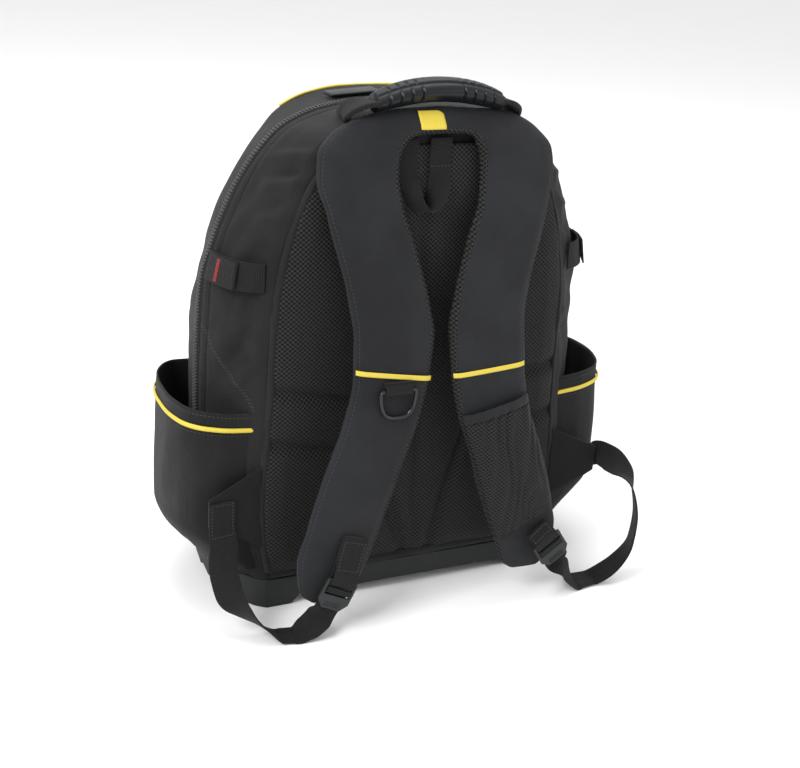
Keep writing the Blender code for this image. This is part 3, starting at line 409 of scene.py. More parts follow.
def piece(name, bm, material, nodes, body="bag", smooth=True, modifiers=()):
    """Make a shown piece in the bag's place, which stands for some nodes of the frame."""
    bmesh.ops.translate(bm, verts=bm.verts, vec=(0.0, BACK, 0.0))
    mesh = mesh_from(name, bm)
    if smooth:
        mesh.shade_smooth()
    mesh.materials.append(material)
    made = placed(name, mesh)
    for kind, settings in modifiers:
        modifier = made.modifiers.new(kind.lower(), kind)
        for setting, value in settings.items():
            setattr(modifier, setting, value)
    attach(made, body)
    if nodes:
        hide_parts(*nodes)
    return made


def wall(thickness, outwards=False):
    """Modifier that gives a surface its thickness."""
    return ("SOLIDIFY", {"thickness": thickness, "offset": 1.0 if outwards else -1.0})


bag_cloth = woven_cloth("charcoal cloth", (0.0074, 0.0076, 0.0082))
zip_from = ZIP_AT - ZIP_WIDE / 2
zip_to = ZIP_AT + ZIP_WIDE / 2
bag_middle = (0.0, BAG_DEPTH / 2, RIM + BAG_HEIGHT / 2)
# A seam runs round the back half here. It sinks this deep and is about this wide.
SEAM_AT = 0.0465
SEAM_SUNK = 0.0012
SEAM_WIDE = 0.0010
back_depths = list(np.linspace(0.0, 0.010, 6)) + list(np.linspace(0.013, 0.0435, 14))
back_depths += [0.0450, 0.0458, SEAM_AT, 0.0472, 0.0480, 0.0500, 0.0525, zip_from - 0.0003]
rows = [shrunk(bag_loop(0.0), share, 0.0, MIDDLE) for share in (0.0, 0.9, 0.985)]
for depth in back_depths:
    sunk = SEAM_SUNK * math.exp(-((depth - SEAM_AT) / SEAM_WIDE) ** 2)
    rows.append(swollen(depth, -sunk))
# Short pleats where the side is gathered into the panel's seam, the same on both sides.
# Columns: height, length, how wide, how deep.
PLEATS = [
    (0.416, 0.034, 0.0050, 0.0036), (0.404, 0.022, 0.0044, -0.0034), (0.394, 0.028, 0.0044, 0.0034),
    (0.380, 0.018, 0.0044, -0.0028), (0.366, 0.024, 0.0050, 0.0028), (0.344, 0.018, 0.0050, -0.0024),
    (0.262, 0.022, 0.0050, 0.0024), (0.246, 0.020, 0.0050, -0.0024),
]
pleats = []
for height, long, wide, deep in PLEATS:
    for side in (-1, 1):
        seam_end = (side * bag_half(0.004, height), 0.004, height)
        free_end = (side * bag_half(long, height - 0.006), long, height - 0.006)
        pleats.append((seam_end, free_end, wide, deep))
bag_back = piece("bag_back", press(tidy(skin(rows, closed=True), bag_middle), BAG_FOLDS + pleats,
                                   [(0.060, 0.0030, 3.0), (0.024, 0.0014, 9.0)], (ZIP_AT, 0.030)),
                 bag_cloth, ["back_body"], modifiers=[wall(CLOTH_WALL)])

front_depths = list(np.linspace(zip_to + 0.0003, 0.150, 30)) + list(np.linspace(0.153, 0.200, 22))
front_rows = [bag_loop(depth) for depth in front_depths]
closing = front_rows[-1]
# The front panel, closed towards its middle. Columns: share of its outline, how far it bulges.
FRONT_MIDDLE = 0.190
FRONT_BULGE = [(0.96, 0.0015), (0.88, 0.003), (0.7, 0.0042), (0.45, 0.005), (0.2, 0.0052), (0.0, 0.0053)]
front_rows += [shrunk(closing, share, BAG_DEPTH + bulge, FRONT_MIDDLE) for share, bulge in FRONT_BULGE]
bag_front = piece("bag_front", press(tidy(skin(front_rows, closed=True), bag_middle), BAG_FOLDS,
                                    [(0.085, 0.0036, 5.0), (0.030, 0.0013, 2.0)], (ZIP_AT, 0.030)),
                  bag_cloth, ["front_body"], modifiers=[wall(CLOTH_WALL)])

# Zip: two rows of coiled teeth on a woven tape, sewn all round between the halves of the bag. A row of
# grey stitches runs beside it on each half.
TOOTH_PITCH = 0.0030
zip_tape = grained("zip tape", (0.005, 0.005, 0.0055), 0.85, (700.0, 0.4), (900.0, 0.0003, 0.4))
# Columns: depth, how far the tape stands proud of the bag.
TAPE_SECTION = [(zip_from, 0.0), (zip_from + 0.001, 0.0007), (ZIP_AT, 0.0009), (zip_to - 0.001, 0.0007),
                (zip_to, 0.0)]
zip_rows = [swollen(depth, proud) for depth, proud in TAPE_SECTION]
piece("zip_tape", tidy(skin(zip_rows, closed=True), bag_middle), zip_tape, ["zip_band"],
      modifiers=[wall(0.0015)])


def line_mesh(name, lines):
    """Edges along lines of points, in the bag's place, with the way out of the surface at each point."""
    bm = bmesh.new()
    outward = bm.verts.layers.float_vector.new("outward")
    for line in lines:
        before = None
        for point, out in line:
            vert = bm.verts.new((point[0], point[1] + BACK, point[2]))
            vert[outward] = out
            if before is not None:
                bm.edges.new((before, vert))
            before = vert
    return placed(name, mesh_from(name, bm))


def row_tree(material):
    """Geometry Nodes that set small blocks along lines.

    The inputs are the pitch, and a block's length, width and height.
    """
    tree = bpy.data.node_groups.new("row of " + material.name, "GeometryNodeTree")
    tree.interface.new_socket("Geometry", in_out="INPUT", socket_type="NodeSocketGeometry")
    sizes = {}
    for label in ("Pitch", "Length", "Width", "Height"):
        size_socket = tree.interface.new_socket(label, in_out="INPUT", socket_type="NodeSocketFloat")
        sizes[label] = size_socket.identifier
    tree.interface.new_socket("Geometry", in_out="OUTPUT", socket_type="NodeSocketGeometry")
    nodes, links = tree.nodes, tree.links

    def add(kind, settings=None, **values):
        node = nodes.new(kind)
        for setting, value in (settings or {}).items():
            setattr(node, setting, value)
        for socket, value in values.items():
            socket = node.inputs[socket.replace("_", " ")]
            if isinstance(value, bpy.types.NodeSocket):
                links.new(value, socket)
            else:
                socket.default_value = value
        return node

    start = nodes.new("NodeGroupInput")
    end = nodes.new("NodeGroupOutput")
    curve = add("GeometryNodeMeshToCurve", Mesh=start.outputs["Geometry"])
    spaced = add("GeometryNodeResampleCurve", {"mode": "LENGTH"}, Curve=curve.outputs[0],
                 Length=start.outputs["Pitch"])
    out = add("GeometryNodeInputNamedAttribute", {"data_type": "FLOAT_VECTOR"}, Name="outward")
    tangent = add("GeometryNodeInputTangent")
    first = add("FunctionNodeAlignRotationToVector", {"axis": "X"}, Vector=tangent.outputs[0])
    turned = add("FunctionNodeAlignRotationToVector", {"axis": "Z", "pivot_axis": "X"},
                 Rotation=first.outputs[0], Vector=out.outputs["Attribute"])
    size = add("ShaderNodeCombineXYZ", X=start.outputs["Length"], Y=start.outputs["Width"],
               Z=start.outputs["Height"])
    block = add("GeometryNodeMeshIcoSphere", Radius=0.5, Subdivisions=1)
    set_on = add("GeometryNodeInstanceOnPoints", Points=spaced.outputs[0], Instance=block.outputs[0],
                 Rotation=turned.outputs[0], Scale=size.outputs[0])
    real = add("GeometryNodeRealizeInstances", Geometry=set_on.outputs[0])
    finished = add("GeometryNodeSetMaterial", Geometry=real.outputs[0], Material=material)
    links.new(finished.outputs[0], end.inputs[0])
    return tree, sizes


def row_of(name, lines, material, pitch, length, width, height, body="bag"):
    """Stitches or teeth along lines, made plain mesh."""
    guide = line_mesh(name + "_lines", lines)
    tree, sizes = row_tree(material)
    modifier = guide.modifiers.new("row", "NODES")
    modifier.node_group = tree
    for label, value in (("Pitch", pitch), ("Length", length), ("Width", width), ("Height", height)):
        modifier[sizes[label]] = value
    evaluated = guide.evaluated_get(bpy.context.evaluated_depsgraph_get())
    mesh = bpy.data.meshes.new_from_object(evaluated)
    bpy.data.objects.remove(guide, do_unlink=True)
    mesh.name = name
    made = placed(name, mesh)
    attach(made, body)
    return made


def bag_line(depth, lift, start=0, stop=None):
    """Line over the bag at a depth, lifted off it, with the way out at each point."""
    loop = bag_loop(depth)
    span = 2 * len(arch_at(depth)) - 1
    line = []
    for i in range(start, stop or span):
        ahead = Vector(loop[min(i + 1, span - 1)]) - Vector(loop[max(i - 1, 0)])
        out = Vector((ahead.z, 0.0, -ahead.x)).normalized()
        line.append((Vector(loop[i]) + out * lift, out))
    return line


def laid_on(cloth, line, lift):
    """A line moved onto a cloth's own folds and lifted off them, with the way out at each point."""
    mesh = cloth.data
    surface = BVHTree.FromPolygons([v.co for v in mesh.vertices], [face.vertices for face in mesh.polygons])
    shift = Vector((0.0, BACK, 0.0))
    laid = []
    for point, out in line:
        spot, normal = surface.find_nearest(Vector(point) + shift)[:2]
        laid.append((spot - shift + normal * lift, normal))
    return laid


teeth = grained("zip teeth", (0.034, 0.035, 0.037), 0.28, (300.0, 0.3))
row_of("zip_teeth", [bag_line(ZIP_AT - 0.0024, 0.0014), bag_line(ZIP_AT + 0.0024, 0.0014)], teeth,
       TOOTH_PITCH, 0.0017, 0.0040, 0.0026)
thread = grained("grey thread", (0.040, 0.041, 0.043), 0.6, (1500.0, 0.3))
# Stitches. Columns: pitch, length, width, height.
STITCHES = {
    "zip": (0.0036, 0.0026, 0.0005, 0.0005), "edge": (0.0036, 0.0025, 0.0005, 0.0005),
    "end": (0.0030, 0.0022, 0.0005, 0.0005), "seam": (0.0034, 0.0024, 0.0006, 0.0006),
    "box": (0.0030, 0.0022, 0.0006, 0.0005),
}


def stitch(name, lines, kind):
    """Stitches of grey thread along lines."""
    row_of(name, lines, thread, *STITCHES[kind])


stitch("zip_stitches", [laid_on(bag_back, bag_line(zip_from - 0.0035, 0.0), 0.0002),
                        laid_on(bag_front, bag_line(zip_to + 0.0035, 0.0), 0.0002)], "zip")

# Back panel: knitted air mesh over foam, sewn down along channels, inside a dark cloth binding. It covers
# the wearer's side of the bag from the base up to under the yoke.
PANEL_TOP = 0.424
PANEL_LOW = 0.0385
PANEL_THICK = 0.0075
# Sewn channels. Columns: from (across, height), to (across, height), how wide, how deep.
CHANNELS = [
    ((-0.160, 0.219), (-0.070, 0.202), 0.0060, 0.70), ((-0.160, 0.170), (-0.080, 0.154), 0.0060, 0.70),
    ((0.160, 0.219), (0.070, 0.202), 0.0060, 0.70), ((0.160, 0.170), (0.080, 0.154), 0.0060, 0.70),
    ((-0.052, 0.300), (-0.060, 0.200), 0.0060, 0.60), ((-0.060, 0.200), (-0.006, 0.040), 0.0060, 0.70),
    ((0.052, 0.300), (0.056, 0.190), 0.0060, 0.60), ((0.056, 0.190), (0.020, 0.040), 0.0060, 0.70),
    ((-0.010, 0.420), (0.004, 0.040), 0.0050, 0.35),
]


def air_mesh(name, colour, hole=0.0044):
    """Spacer knit: staggered diamond holes filled with painted shade, over a knitted face painted paler as a
    highlight.
    """
    knit = Finish(name, colour, 0.55, Sheen_Weight=0.02, Specular_IOR_Level=0.12)
    at = knit.place()
    x, _, z = knit.parts(at)
    pitch = 2 * math.pi / hole
    lattice = (x * pitch).wave() * (z * (pitch * 1.1)).wave()
    open_hole = lattice.soft(-0.08, 0.26)
    yarn = knit.grain(at, 1400.0, 2.0)
    # Dark and light copies of the mesh's colour: painted shade in the holes and a painted highlight on the
    # yarn.
    dark = [c * 0.05 for c in colour]
    light = [c * 1.9 for c in colour]
    # Share of the painted highlight: none in the holes, more on the yarn where its grain is high.
    painted_light_share = (1.0 - open_hole) * (0.55 + yarn * 0.6)
    knit.join(knit.between(painted_light_share, dark, light), knit.shader.inputs["Base Color"])
    knit.raise_by((1.0 - open_hole) + yarn * 0.3, 0.0012, 0.8)
    return knit.material


def panel_full(across, height, half):
    """Fullness of the panel, from its edge to its middle, with its sewn channels."""
    side = min(1.0, (half - abs(across)) / 0.016)
    end = min(1.0, (height - PANEL_LOW) / 0.012)
    full = 0.36 + 0.64 * math.sqrt(max(0.0, side) * max(0.0, end))
    spot = np.array((across, height))
    for start, stop, wide, deep in CHANNELS:
        a = np.array(start)
        way = np.array(stop) - a
        t = min(1.0, max(0.0, float((spot - a) @ way / (way @ way))))
        apart = float(np.linalg.norm(spot - a - t * way))
        full *= 1.0 - deep * math.exp(-(apart / wide) ** 2)
    if height > 0.38:
        full *= 1.0 - 0.5 * (height - 0.38) / (PANEL_TOP - 0.38)
    return full


black_mesh = air_mesh("black air mesh", (0.0125, 0.0125, 0.0120))
panel_rows = []
for z in np.linspace(PANEL_LOW, PANEL_TOP, 150):
    half = bag_half(0.0, z) - 0.004
    front = []
    for share in np.linspace(-1, 1, 121):
        front.append((half * share, -0.0003 - PANEL_THICK * panel_full(half * share, z, half), z))
    panel_rows.append(front + [(half, -0.0003, z), (-half, -0.0003, z)])
panel_mesh = piece("back_panel_mesh", press(tidy(skin(panel_rows, closed=True, capped=True)), (),
                                            [(0.045, 0.0008, 7.0)]), black_mesh, ["back_panel"])

# Panel binding: a folded strip of the bag's cloth sewn round the mesh, over the corner seam of the bag.
# Columns: share of its half width, how far it stands off the back.
BINDING = [(-1.0, 0.0016), (-0.7, 0.0034), (-0.2, 0.0040), (0.3, 0.0034), (0.8, 0.0018), (1.0, 0.0006)]
# The strip along the base. Columns: height, how far it stands off the back.
LOW_BINDING = [(0.0316, 0.0008), (0.0330, 0.0030), (0.0355, 0.0038), (0.0385, 0.0034), (0.0405, 0.0020)]
edge_rows = []
for turn in np.linspace(0.0, 1.0, 160):
    z = PANEL_LOW + (PANEL_TOP + 0.004 - PANEL_LOW) * turn
    half = bag_half(0.0, z)
    edge_rows.append((half, z))
for side_name, side in SIDES:
    rows = [[(side * (half - 0.0030 + 0.0034 * share), -out, z) for share, out in BINDING]
            for half, z in edge_rows]
    piece("panel_binding_" + side_name, press(tidy(skin(rows), bag_middle), (), [(0.018, 0.0014, 4.0)]),
          bag_cloth, [], modifiers=[wall(0.0008)])
half = bag_half(0.0, 0.034)
rows = [[(half * share, -out, z) for z, out in LOW_BINDING] for share in np.linspace(-0.98, 0.98, 90)]
piece("panel_binding_low", press(tidy(skin(rows), bag_middle), (), [(0.020, 0.0005, 1.0)]), bag_cloth, [],
      modifiers=[wall(0.0008)])

# Shoulder harness: two padded straps that run up into one yoke over a keyhole, cloth outside and
# air mesh behind, with a bound edge all round.
# Half of it from a strap's lower end to the middle of the yoke, in millimetres.
# Columns: inner edge across and up, outer edge across and up, inner and outer depth, thickness.
HARNESS = [
    (84.5, 30.3, 115.5, 30.3, -52.6, -52.6, 8.5), (75.0, 38.0, 124.5, 38.0, -53.0, -53.0, 9.3),
    (69.5, 52.0, 128.5, 52.0, -53.4, -53.4, 9.5), (61.0, 72.0, 129.4, 72.0, -54.0, -54.0, 9.5),
    (50.1, 102.0, 121.9, 102.0, -53.0, -53.0, 9.5), (36.6, 143.0, 109.4, 143.0, -51.0, -51.0, 9.5),
    (19.1, 193.0, 90.9, 193.0, -49.0, -49.0, 9.5), (9.6, 236.0, 82.4, 236.0, -46.0, -46.0, 9.5),
    (8.0, 269.0, 82.0, 269.0, -42.0, -42.0, 9.5), (12.0, 300.0, 86.0, 300.0, -37.0, -37.0, 9.5),
    (23.6, 343.0, 96.4, 343.0, -30.0, -30.0, 9.5), (34.3, 375.0, 105.7, 375.0, -24.0, -24.0, 9.5),
    (37.5, 398.0, 111.5, 398.0, -17.8, -17.8, 9.5), (38.0, 413.0, 109.0, 420.0, -16.6, -12.0, 9.3),
    (35.6, 425.0, 98.0, 434.0, -15.6, -6.0, 9.0), (30.0, 433.5, 80.0, 446.0, -14.8, -1.8, 8.6),
    (18.4, 437.6, 50.0, 454.0, -14.4, 1.2, 8.2), (0.0, 438.7, 0.0, 456.8, -14.0, 1.8, 8.0),
]
# Section of the pad, its face first. Columns: across, depth below its face.
FACE_ROWS = 17
PAD_SECTION = [
    (-1.000, 0.50), (-0.985, 0.33), (-0.94, 0.22), (-0.90, 0.20), (-0.86, 0.10), (-0.75, 0.03), (-0.55, 0.0),
    (-0.3, -0.02), (0.0, -0.03), (0.3, -0.02), (0.55, 0.0), (0.75, 0.03), (0.86, 0.10), (0.90, 0.20),
    (0.94, 0.22), (0.985, 0.33), (1.000, 0.50), (0.98, 0.68), (0.90, 0.85), (0.6, 0.98), (0.2, 1.0),
    (-0.2, 1.0), (-0.6, 0.98), (-0.90, 0.85), (-0.98, 0.68),
]
HARNESS_FOLDS = [
    ((-0.060, -0.020, 0.395), (-0.100, -0.020, 0.372), 0.010, -0.0014),
    ((0.050, -0.018, 0.402), (0.100, -0.018, 0.385), 0.010, -0.0014),
    ((-0.020, -0.044, 0.262), (-0.078, -0.044, 0.250), 0.008, -0.0010),
    ((0.014, -0.044, 0.262), (0.070, -0.044, 0.275), 0.009, -0.0012),
    ((-0.046, -0.052, 0.140), (-0.098, -0.052, 0.160), 0.009, -0.0012),
    ((-0.070, -0.053, 0.072), (-0.120, -0.053, 0.086), 0.008, -0.0016),
    ((0.070, -0.053, 0.070), (0.122, -0.053, 0.078), 0.008, -0.0014),
    ((-0.030, -0.008, 0.440), (-0.070, -0.004, 0.436), 0.006, -0.0012),
    ((0.028, -0.008, 0.438), (0.072, -0.004, 0.438), 0.006, -0.0012),
]
numbered = [(row, *columns) for row, columns in enumerate(HARNESS)]


def harness_at(place):
    """Inner edge, outer edge and thickness of the harness, from a strap's end (0) to the yoke's middle."""
    in_x, in_z, out_x, out_z, in_y, out_y, thick = read(numbered, place) / 1000
    return Vector((in_x, in_y, in_z)), Vector((out_x, out_y, out_z)), thick


def harness_frame(place):
    """Middle of the harness's face, half its width across, the way out of it and its thickness.

    It faces the wearer along the straps, and leans upwards over the last five rows, into the yoke.
    """
    inner, outer, thick = harness_at(place)
    lean = min(1.0, max(0.0, (place - 12) / 5))
    facing = Vector((0.0, -1.0, 0.75 * lean))
    half = (outer - inner) / 2
    square = (facing - facing.project(half)).normalized()
    return (inner + outer) / 2, half, square, thick


def harness_loop(place, side):
    """Section of the harness as a closed loop."""
    middle, half, square, thick = harness_frame(place)
    loop = [middle + half * a - square * (thick * d) for a, d in PAD_SECTION]
    return [(side * p.x, p.y, p.z) for p in loop]


places = np.linspace(0, len(HARNESS) - 1, 150)
loops = [harness_loop(place, -1) for place in places] + [harness_loop(place, 1) for place in places[-2::-1]]
harness = skin(loops, closed=True, capped=True)
# Strips of the section that are air mesh: those behind, and those along its inner edge.
MESH_EDGE = (0, 1, 2, 3, 18, 19, 20, 21, 22, 23, 24)
for number, face in enumerate(list(harness.faces)[:-2]):
    face.material_index = 1 if number % len(PAD_SECTION) in MESH_EDGE else 0
tidy(harness)
bmesh.ops.subdivide_edges(harness, edges=[e for e in harness.edges if e.calc_length() > 0.006], cuts=1,
                          use_grid_fill=True)
harness_cloth = woven_cloth("strap cloth", (0.0100, 0.0105, 0.0128), thread=0.0010, rough=0.60)
shoulder_harness = piece("shoulder_harness", press(tidy(harness), HARNESS_FOLDS,
                                                   [(0.050, 0.0018, 4.0), (0.020, 0.0006, 8.0)]),
                         harness_cloth, ["shoulder_strap_left", "shoulder_strap_right", "shoulder_yoke"])
shoulder_harness.data.materials.append(black_mesh)


def harness_face(place, side, across, lift):
    """Point off the harness's face, and the way out of it."""
    middle, half, square, thick = harness_frame(place)
    table = PAD_SECTION[:FACE_ROWS]
    below = float(np.interp(across, [a for a, d in table], [d for a, d in table]))
    point = middle + half * across - square * (thick * below) + square * lift
    return Vector((side * point.x, point.y, point.z)), Vector((side * square.x, square.y, square.z))


edge_lines = []
for side in (-1, 1):
    for across in (-0.885, 0.885):
        line = [harness_face(place, side, across, 0.0) for place in np.linspace(0.15, 17, 260)]
        edge_lines.append(laid_on(shoulder_harness, line, 0.0002))
stitch("harness_stitches", edge_lines, "edge")

# Trims: yellow woven tape sewn across both straps, and a yellow tab over the yoke above the keyhole.
yellow = grained("yellow trim", (0.54, 0.42, 0.040), 0.6, (900.0, 0.14), (1200.0, 0.0003, 0.4))
harness_places = np.linspace(0, len(HARNESS) - 1, 400)
harness_heights = [(harness_at(p)[0].z + harness_at(p)[1].z) / 2 for p in harness_places]


def place_for(height):
    """Place along the harness where its middle is at a height."""
    return float(np.interp(height, harness_heights, harness_places))


# Each stripe's height, and how far its outer end is above its middle.
STRIPES = {"left": (0.2365, 0.0060), "right": (0.2325, 0.0025)}
STRIPE_HALF = 0.0021
for side_name, side in SIDES:
    middle, tilt = STRIPES[side_name]
    rows = []
    for rise in np.linspace(-STRIPE_HALF, STRIPE_HALF, 5):
        rows.append([harness_face(place_for(middle + rise + tilt * a), side, a, 0.0006)[0]
                     for a in np.linspace(-0.97, 0.97, 40)])
    piece("strap_stripe_tape_" + side_name, tidy(skin(rows), (0.0, BAG_DEPTH, 0.23)), yellow,
          ["strap_stripe_" + side_name], modifiers=[wall(0.0009, True)])
# The tab lies left of the middle. Its right edge is rounded towards its upper end.
TAB_AT = -0.0090
TAB_HALF = 0.0115
TAB_TOP = 0.42
rows = []
for share in np.linspace(-0.93, TAB_TOP, 24):
    point = harness_face(len(HARNESS) - 1, 1, share, 0.0005)[0]
    rounded = TAB_HALF * (1 - 0.42 * max(0.0, 1 - (TAB_TOP - share) / 0.45) ** 3)
    rows.append([(TAB_AT + a * (rounded if a > 0 else TAB_HALF), point.y, point.z)
                 for a in np.linspace(-1, 1, 13)])
piece("keyhole_tab", tidy(skin(rows), (0.0, BAG_DEPTH, 0.0)), yellow, ["yellow_tab"],
      modifiers=[wall(0.0010, True)])

# Webbing: woven polyester tape, 25 mm wide on the adjusters and 20 mm on the haul loop, which hangs folded
# in the keyhole with both its ends under the yoke.
WEB_WIDE = 0.025
LAYER = 0.0015


def webbing_finish(name, colour, rib=0.0019):
    """Ribbed tape: fine ribs across its length, two woven ridges along it, uneven dye."""
    tape = Finish(name, colour, 0.78, Sheen_Weight=0.04, Specular_IOR_Level=0.20)
    across, along = tape.parts(tape.place("UV"))[:2]
    ribs = (along * (2 * math.pi / rib)).wave()
    herring = (along * (2 * math.pi / rib) + (across * 700.0).wave() * 1.4).wave()
    fuzz = tape.grain(tape.place(), 1300.0)
    tape.tint(fuzz * 0.5 + herring * 0.25 + 0.2, 0.5)
    tape.raise_by(herring * 0.5 + ribs * 0.3 + fuzz * 0.5, 0.0005, 0.7)
    return tape.material


web_frames = {}


def web(name, rows, width, thickness, steps, material, nodes):
    """Band of webbing through rows of x, y, z and the way its width lies, with its length in its UV map.

    Its centre line is kept, with the ways across it and off its face, for what is sewn to it.
    """
    table = [(row, *columns) for row, columns in enumerate(rows)]
    last = (len(rows) - 1) * steps
    path = [read(table, place_on / steps) for place_on in range(last + 1)]
    section = [(-1, 0.0), (-0.985, -0.8), (-0.94, -1), (-0.5, -1), (0, -1), (0.5, -1), (0.94, -1),
               (0.985, -0.8), (1, 0.0), (0.985, 0.8), (0.94, 1), (0.5, 1), (0, 1), (-0.5, 1), (-0.94, 1),
               (-0.985, 0.8)]
    bm = bmesh.new()
    uv = bm.loops.layers.uv.new("length")
    loops = []
    run = 0.0
    runs = []
    frames = []
    for i, columns in enumerate(path):
        centre = Vector(columns[:3])
        if i:
            run += (centre - Vector(path[i - 1][:3])).length
        runs.append(run)
        ahead = Vector(path[min(i + 1, last)][:3]) - Vector(path[max(i - 1, 0)][:3])
        across = Vector(columns[3:6])
        across = (across - across.project(ahead)).normalized()
        facing = ahead.cross(across).normalized()
        frames.append((centre, across * (width / 2), facing * (thickness / 2)))
        loops.append([bm.verts.new(centre + across * (width / 2 * a) + facing * (thickness / 2 * f))
                      for a, f in section])
    count = len(section)
    for k in range(last):
        for i in range(count):
            j = (i + 1) % count
            face = bm.faces.new((loops[k][i], loops[k][j], loops[k + 1][j], loops[k + 1][i]))
            for loop, (side, end) in zip(face.loops, ((i, k), (j, k), (j, k + 1), (i, k + 1))):
                loop[uv].uv = (section[side][0] * width / 2, runs[end])
    for end, loop in ((0, loops[0]), (last, loops[-1])):
        face = bm.faces.new(loop)
        for corner in face.loops:
            corner[uv].uv = (0.0, runs[end])
    bmesh.ops.recalc_face_normals(bm, faces=bm.faces)
    web_frames[name] = frames
    return piece(name, bm, material, nodes)


def sewn(name, spots, face):
    """Line on a web through spots, on its one face (1) or its other (-1).

    Spots are a share of its length and a share of its half width.
    """
    frames = web_frames[name]
    line = []
    for (a, b), (c, d) in zip(spots, spots[1:]):
        for t in np.linspace(0, 1, 14):
            share = a + (c - a) * t
            centre, across, out = frames[round(share * (len(frames) - 1))]
            line.append((centre + across * (b + (d - b) * t) + out * (face * 1.12), out.normalized() * face))
    return line


def box_of(start, stop, wide=0.78):
    """Sewn box between two places along a web."""
    return [(start, -wide), (stop, -wide), (stop, wide), (start, wide), (start, -wide)]


def mirrored(rows, side):
    return [(x * side, y, z, ax * side, ay, az) for x, y, z, ax, ay, az in rows]


black_webbing = webbing_finish("black webbing", (0.0062, 0.0062, 0.0059))
haul = [
    (-0.028, -0.0052, 0.4300, 1.0, 0.0, 0.0), (-0.028, -0.0062, 0.4020, 1.0, 0.0, 0.0),
    (-0.024, -0.0125, 0.3810, 0.7, -0.8, 0.1), (-0.013, -0.0155, 0.3700, 0.4, -1.0, 0.3),
    (-0.002, -0.0125, 0.3810, 0.7, -0.8, -0.1), (0.003, -0.0062, 0.4020, 1.0, 0.0, 0.0),
    (0.003, -0.0052, 0.4300, 1.0, 0.0, 0.0),
]
web("haul_loop_webbing", haul, 0.020, LAYER, 12, black_webbing, ["haul_loop"])
stitch("haul_loop_stitches", [sewn("haul_loop_webbing", [(0.86, -0.8), (0.86, 0.8)], face)
                              for face in (-1, 1)], "end")

# Side straps: webbing from the zip's edge back to the corner seam, with a free tab over it that is tacked
# in red thread.
SIDE_AT = 0.315


def beside(depth, lift):
    """Point off the side of the bag at the side strap's height, then the way the side slopes there."""
    low = bag_half(depth, SIDE_AT - WEB_WIDE / 2)
    high = bag_half(depth, SIDE_AT + WEB_WIDE / 2)
    return (low + high) / 2 + lift, depth, SIDE_AT, high - low, 0.0, WEB_WIDE


for side_name, side in SIDES:
    strap = [beside(0.054, 0.0017), beside(0.034, 0.0047), beside(0.018, 0.0098), beside(0.007, 0.0072),
             beside(0.004, 0.0027)]
    web("side_strap_webbing_" + side_name, mirrored(strap, side), WEB_WIDE, LAYER, 8, black_webbing,
        ["side_strap_" + side_name])
    tab = [beside(0.048, 0.0044), beside(0.034, 0.0074), beside(0.014, 0.0156)]
    web("side_tab_webbing_" + side_name, mirrored(tab, side), 0.0238, LAYER, 8, black_webbing,
        ["side_tab_" + side_name])
red = grained("red thread", (0.36, 0.012, 0.022), 0.6, (900.0, 0.2))
for side_name in ("left", "right"):
    tacks = [sewn("side_tab_webbing_" + side_name, [(share, -0.75), (share, 0.75)], face)
             for share in (0.42, 0.48) for face in (-1, 1)]
    row_of("side_tab_tack_" + side_name, tacks, red, 0.0016, 0.0010, 0.0030, 0.0006)

# Carrying handle: a soft moulded grip with ribbed pads, held at its ends by two webbing anchors that are
# sewn to the top of the bag.
GRIP_HALF = 0.058
GRIP_UP = 0.4588
GRIP_BACK = 0.002
GRIP_WIDE = 0.0150
GRIP_TALL = 0.0102
# The pads reach from the first to the second of these shares of the grip's half length.
RIBS_FROM = 0.26
RIBS_TO = 0.90
RIBS_FADE = 0.04
grip_rubber = grained("black rubber", (0.0030, 0.0042, 0.0055), 0.30, (60.0, 0.35), (900.0, 0.0002, 0.3),
                      (0.26, 40.0, 0.22), Specular_IOR_Level=0.24)
loops = []
for share in np.linspace(-1.0, 1.0, 221):
    full = 1.0 - 0.22 * share**4
    ribbed = min(1.0, max(0.0, (abs(share) - RIBS_FROM) / RIBS_FADE))
    ribbed *= min(1.0, max(0.0, (RIBS_TO - abs(share)) / RIBS_FADE))
    slot = 0.15 * ribbed * max(0.0, math.cos(share * 46.0)) ** 3
    groove = 0.17 * ribbed * max(0.0, math.cos(share * 38.0 + 0.6)) ** 4
    centre = Vector((GRIP_HALF * share, GRIP_BACK, GRIP_UP + 0.0100 * (1 - share**2)))
    loop = []
    for a in np.linspace(0, 2 * math.pi, 48, endpoint=False):
        flat = 1 - 0.12 * math.sin(2 * a) ** 2
        slotted = slot * math.exp(-((a - 1.75) / 0.36) ** 4)
        grooved = groove * math.exp(-((a - 3.35) / 0.72) ** 4)
        swell = 1.0 - slotted - grooved
        swell -= 0.10 * math.exp(-((a - 2.36) / 0.09) ** 2)
        loop.append(centre + Vector((0.0, GRIP_WIDE * full * math.cos(a) * flat * swell,
                                     GRIP_TALL * full * math.sin(a) * swell)))
    loops.append(loop)
piece("handle_grip_rubber", tidy(skin(loops, closed=True, capped=True)), grip_rubber, ["handle_grip"])
anchor_foot = GRIP_HALF + 0.020
anchor_seat = max(bag_top(depth, anchor_foot - 0.003) for depth in (0.005, 0.016, 0.027)) + 0.0006
for side_name, side in SIDES:
    anchor = [
        (GRIP_HALF - 0.004, GRIP_BACK, GRIP_UP + 0.0005, 0.0, 1.0, 0.0),
        (GRIP_HALF + 0.005, GRIP_BACK, GRIP_UP, 0.0, 1.0, 0.0),
        (anchor_foot - 0.004, (GRIP_BACK + 0.016) / 2, GRIP_UP - 0.005, 0.0, 1.0, 0.0),
        (anchor_foot, 0.016, anchor_seat + 0.003, 0.0, 1.0, 0.0),
        (anchor_foot, 0.016, anchor_seat, 0.0, 1.0, 0.0),
    ]
    web("handle_anchor_web_" + side_name, mirrored(anchor, side), 0.024, 0.004, 8, black_webbing,
        ["handle_anchor_" + side_name])

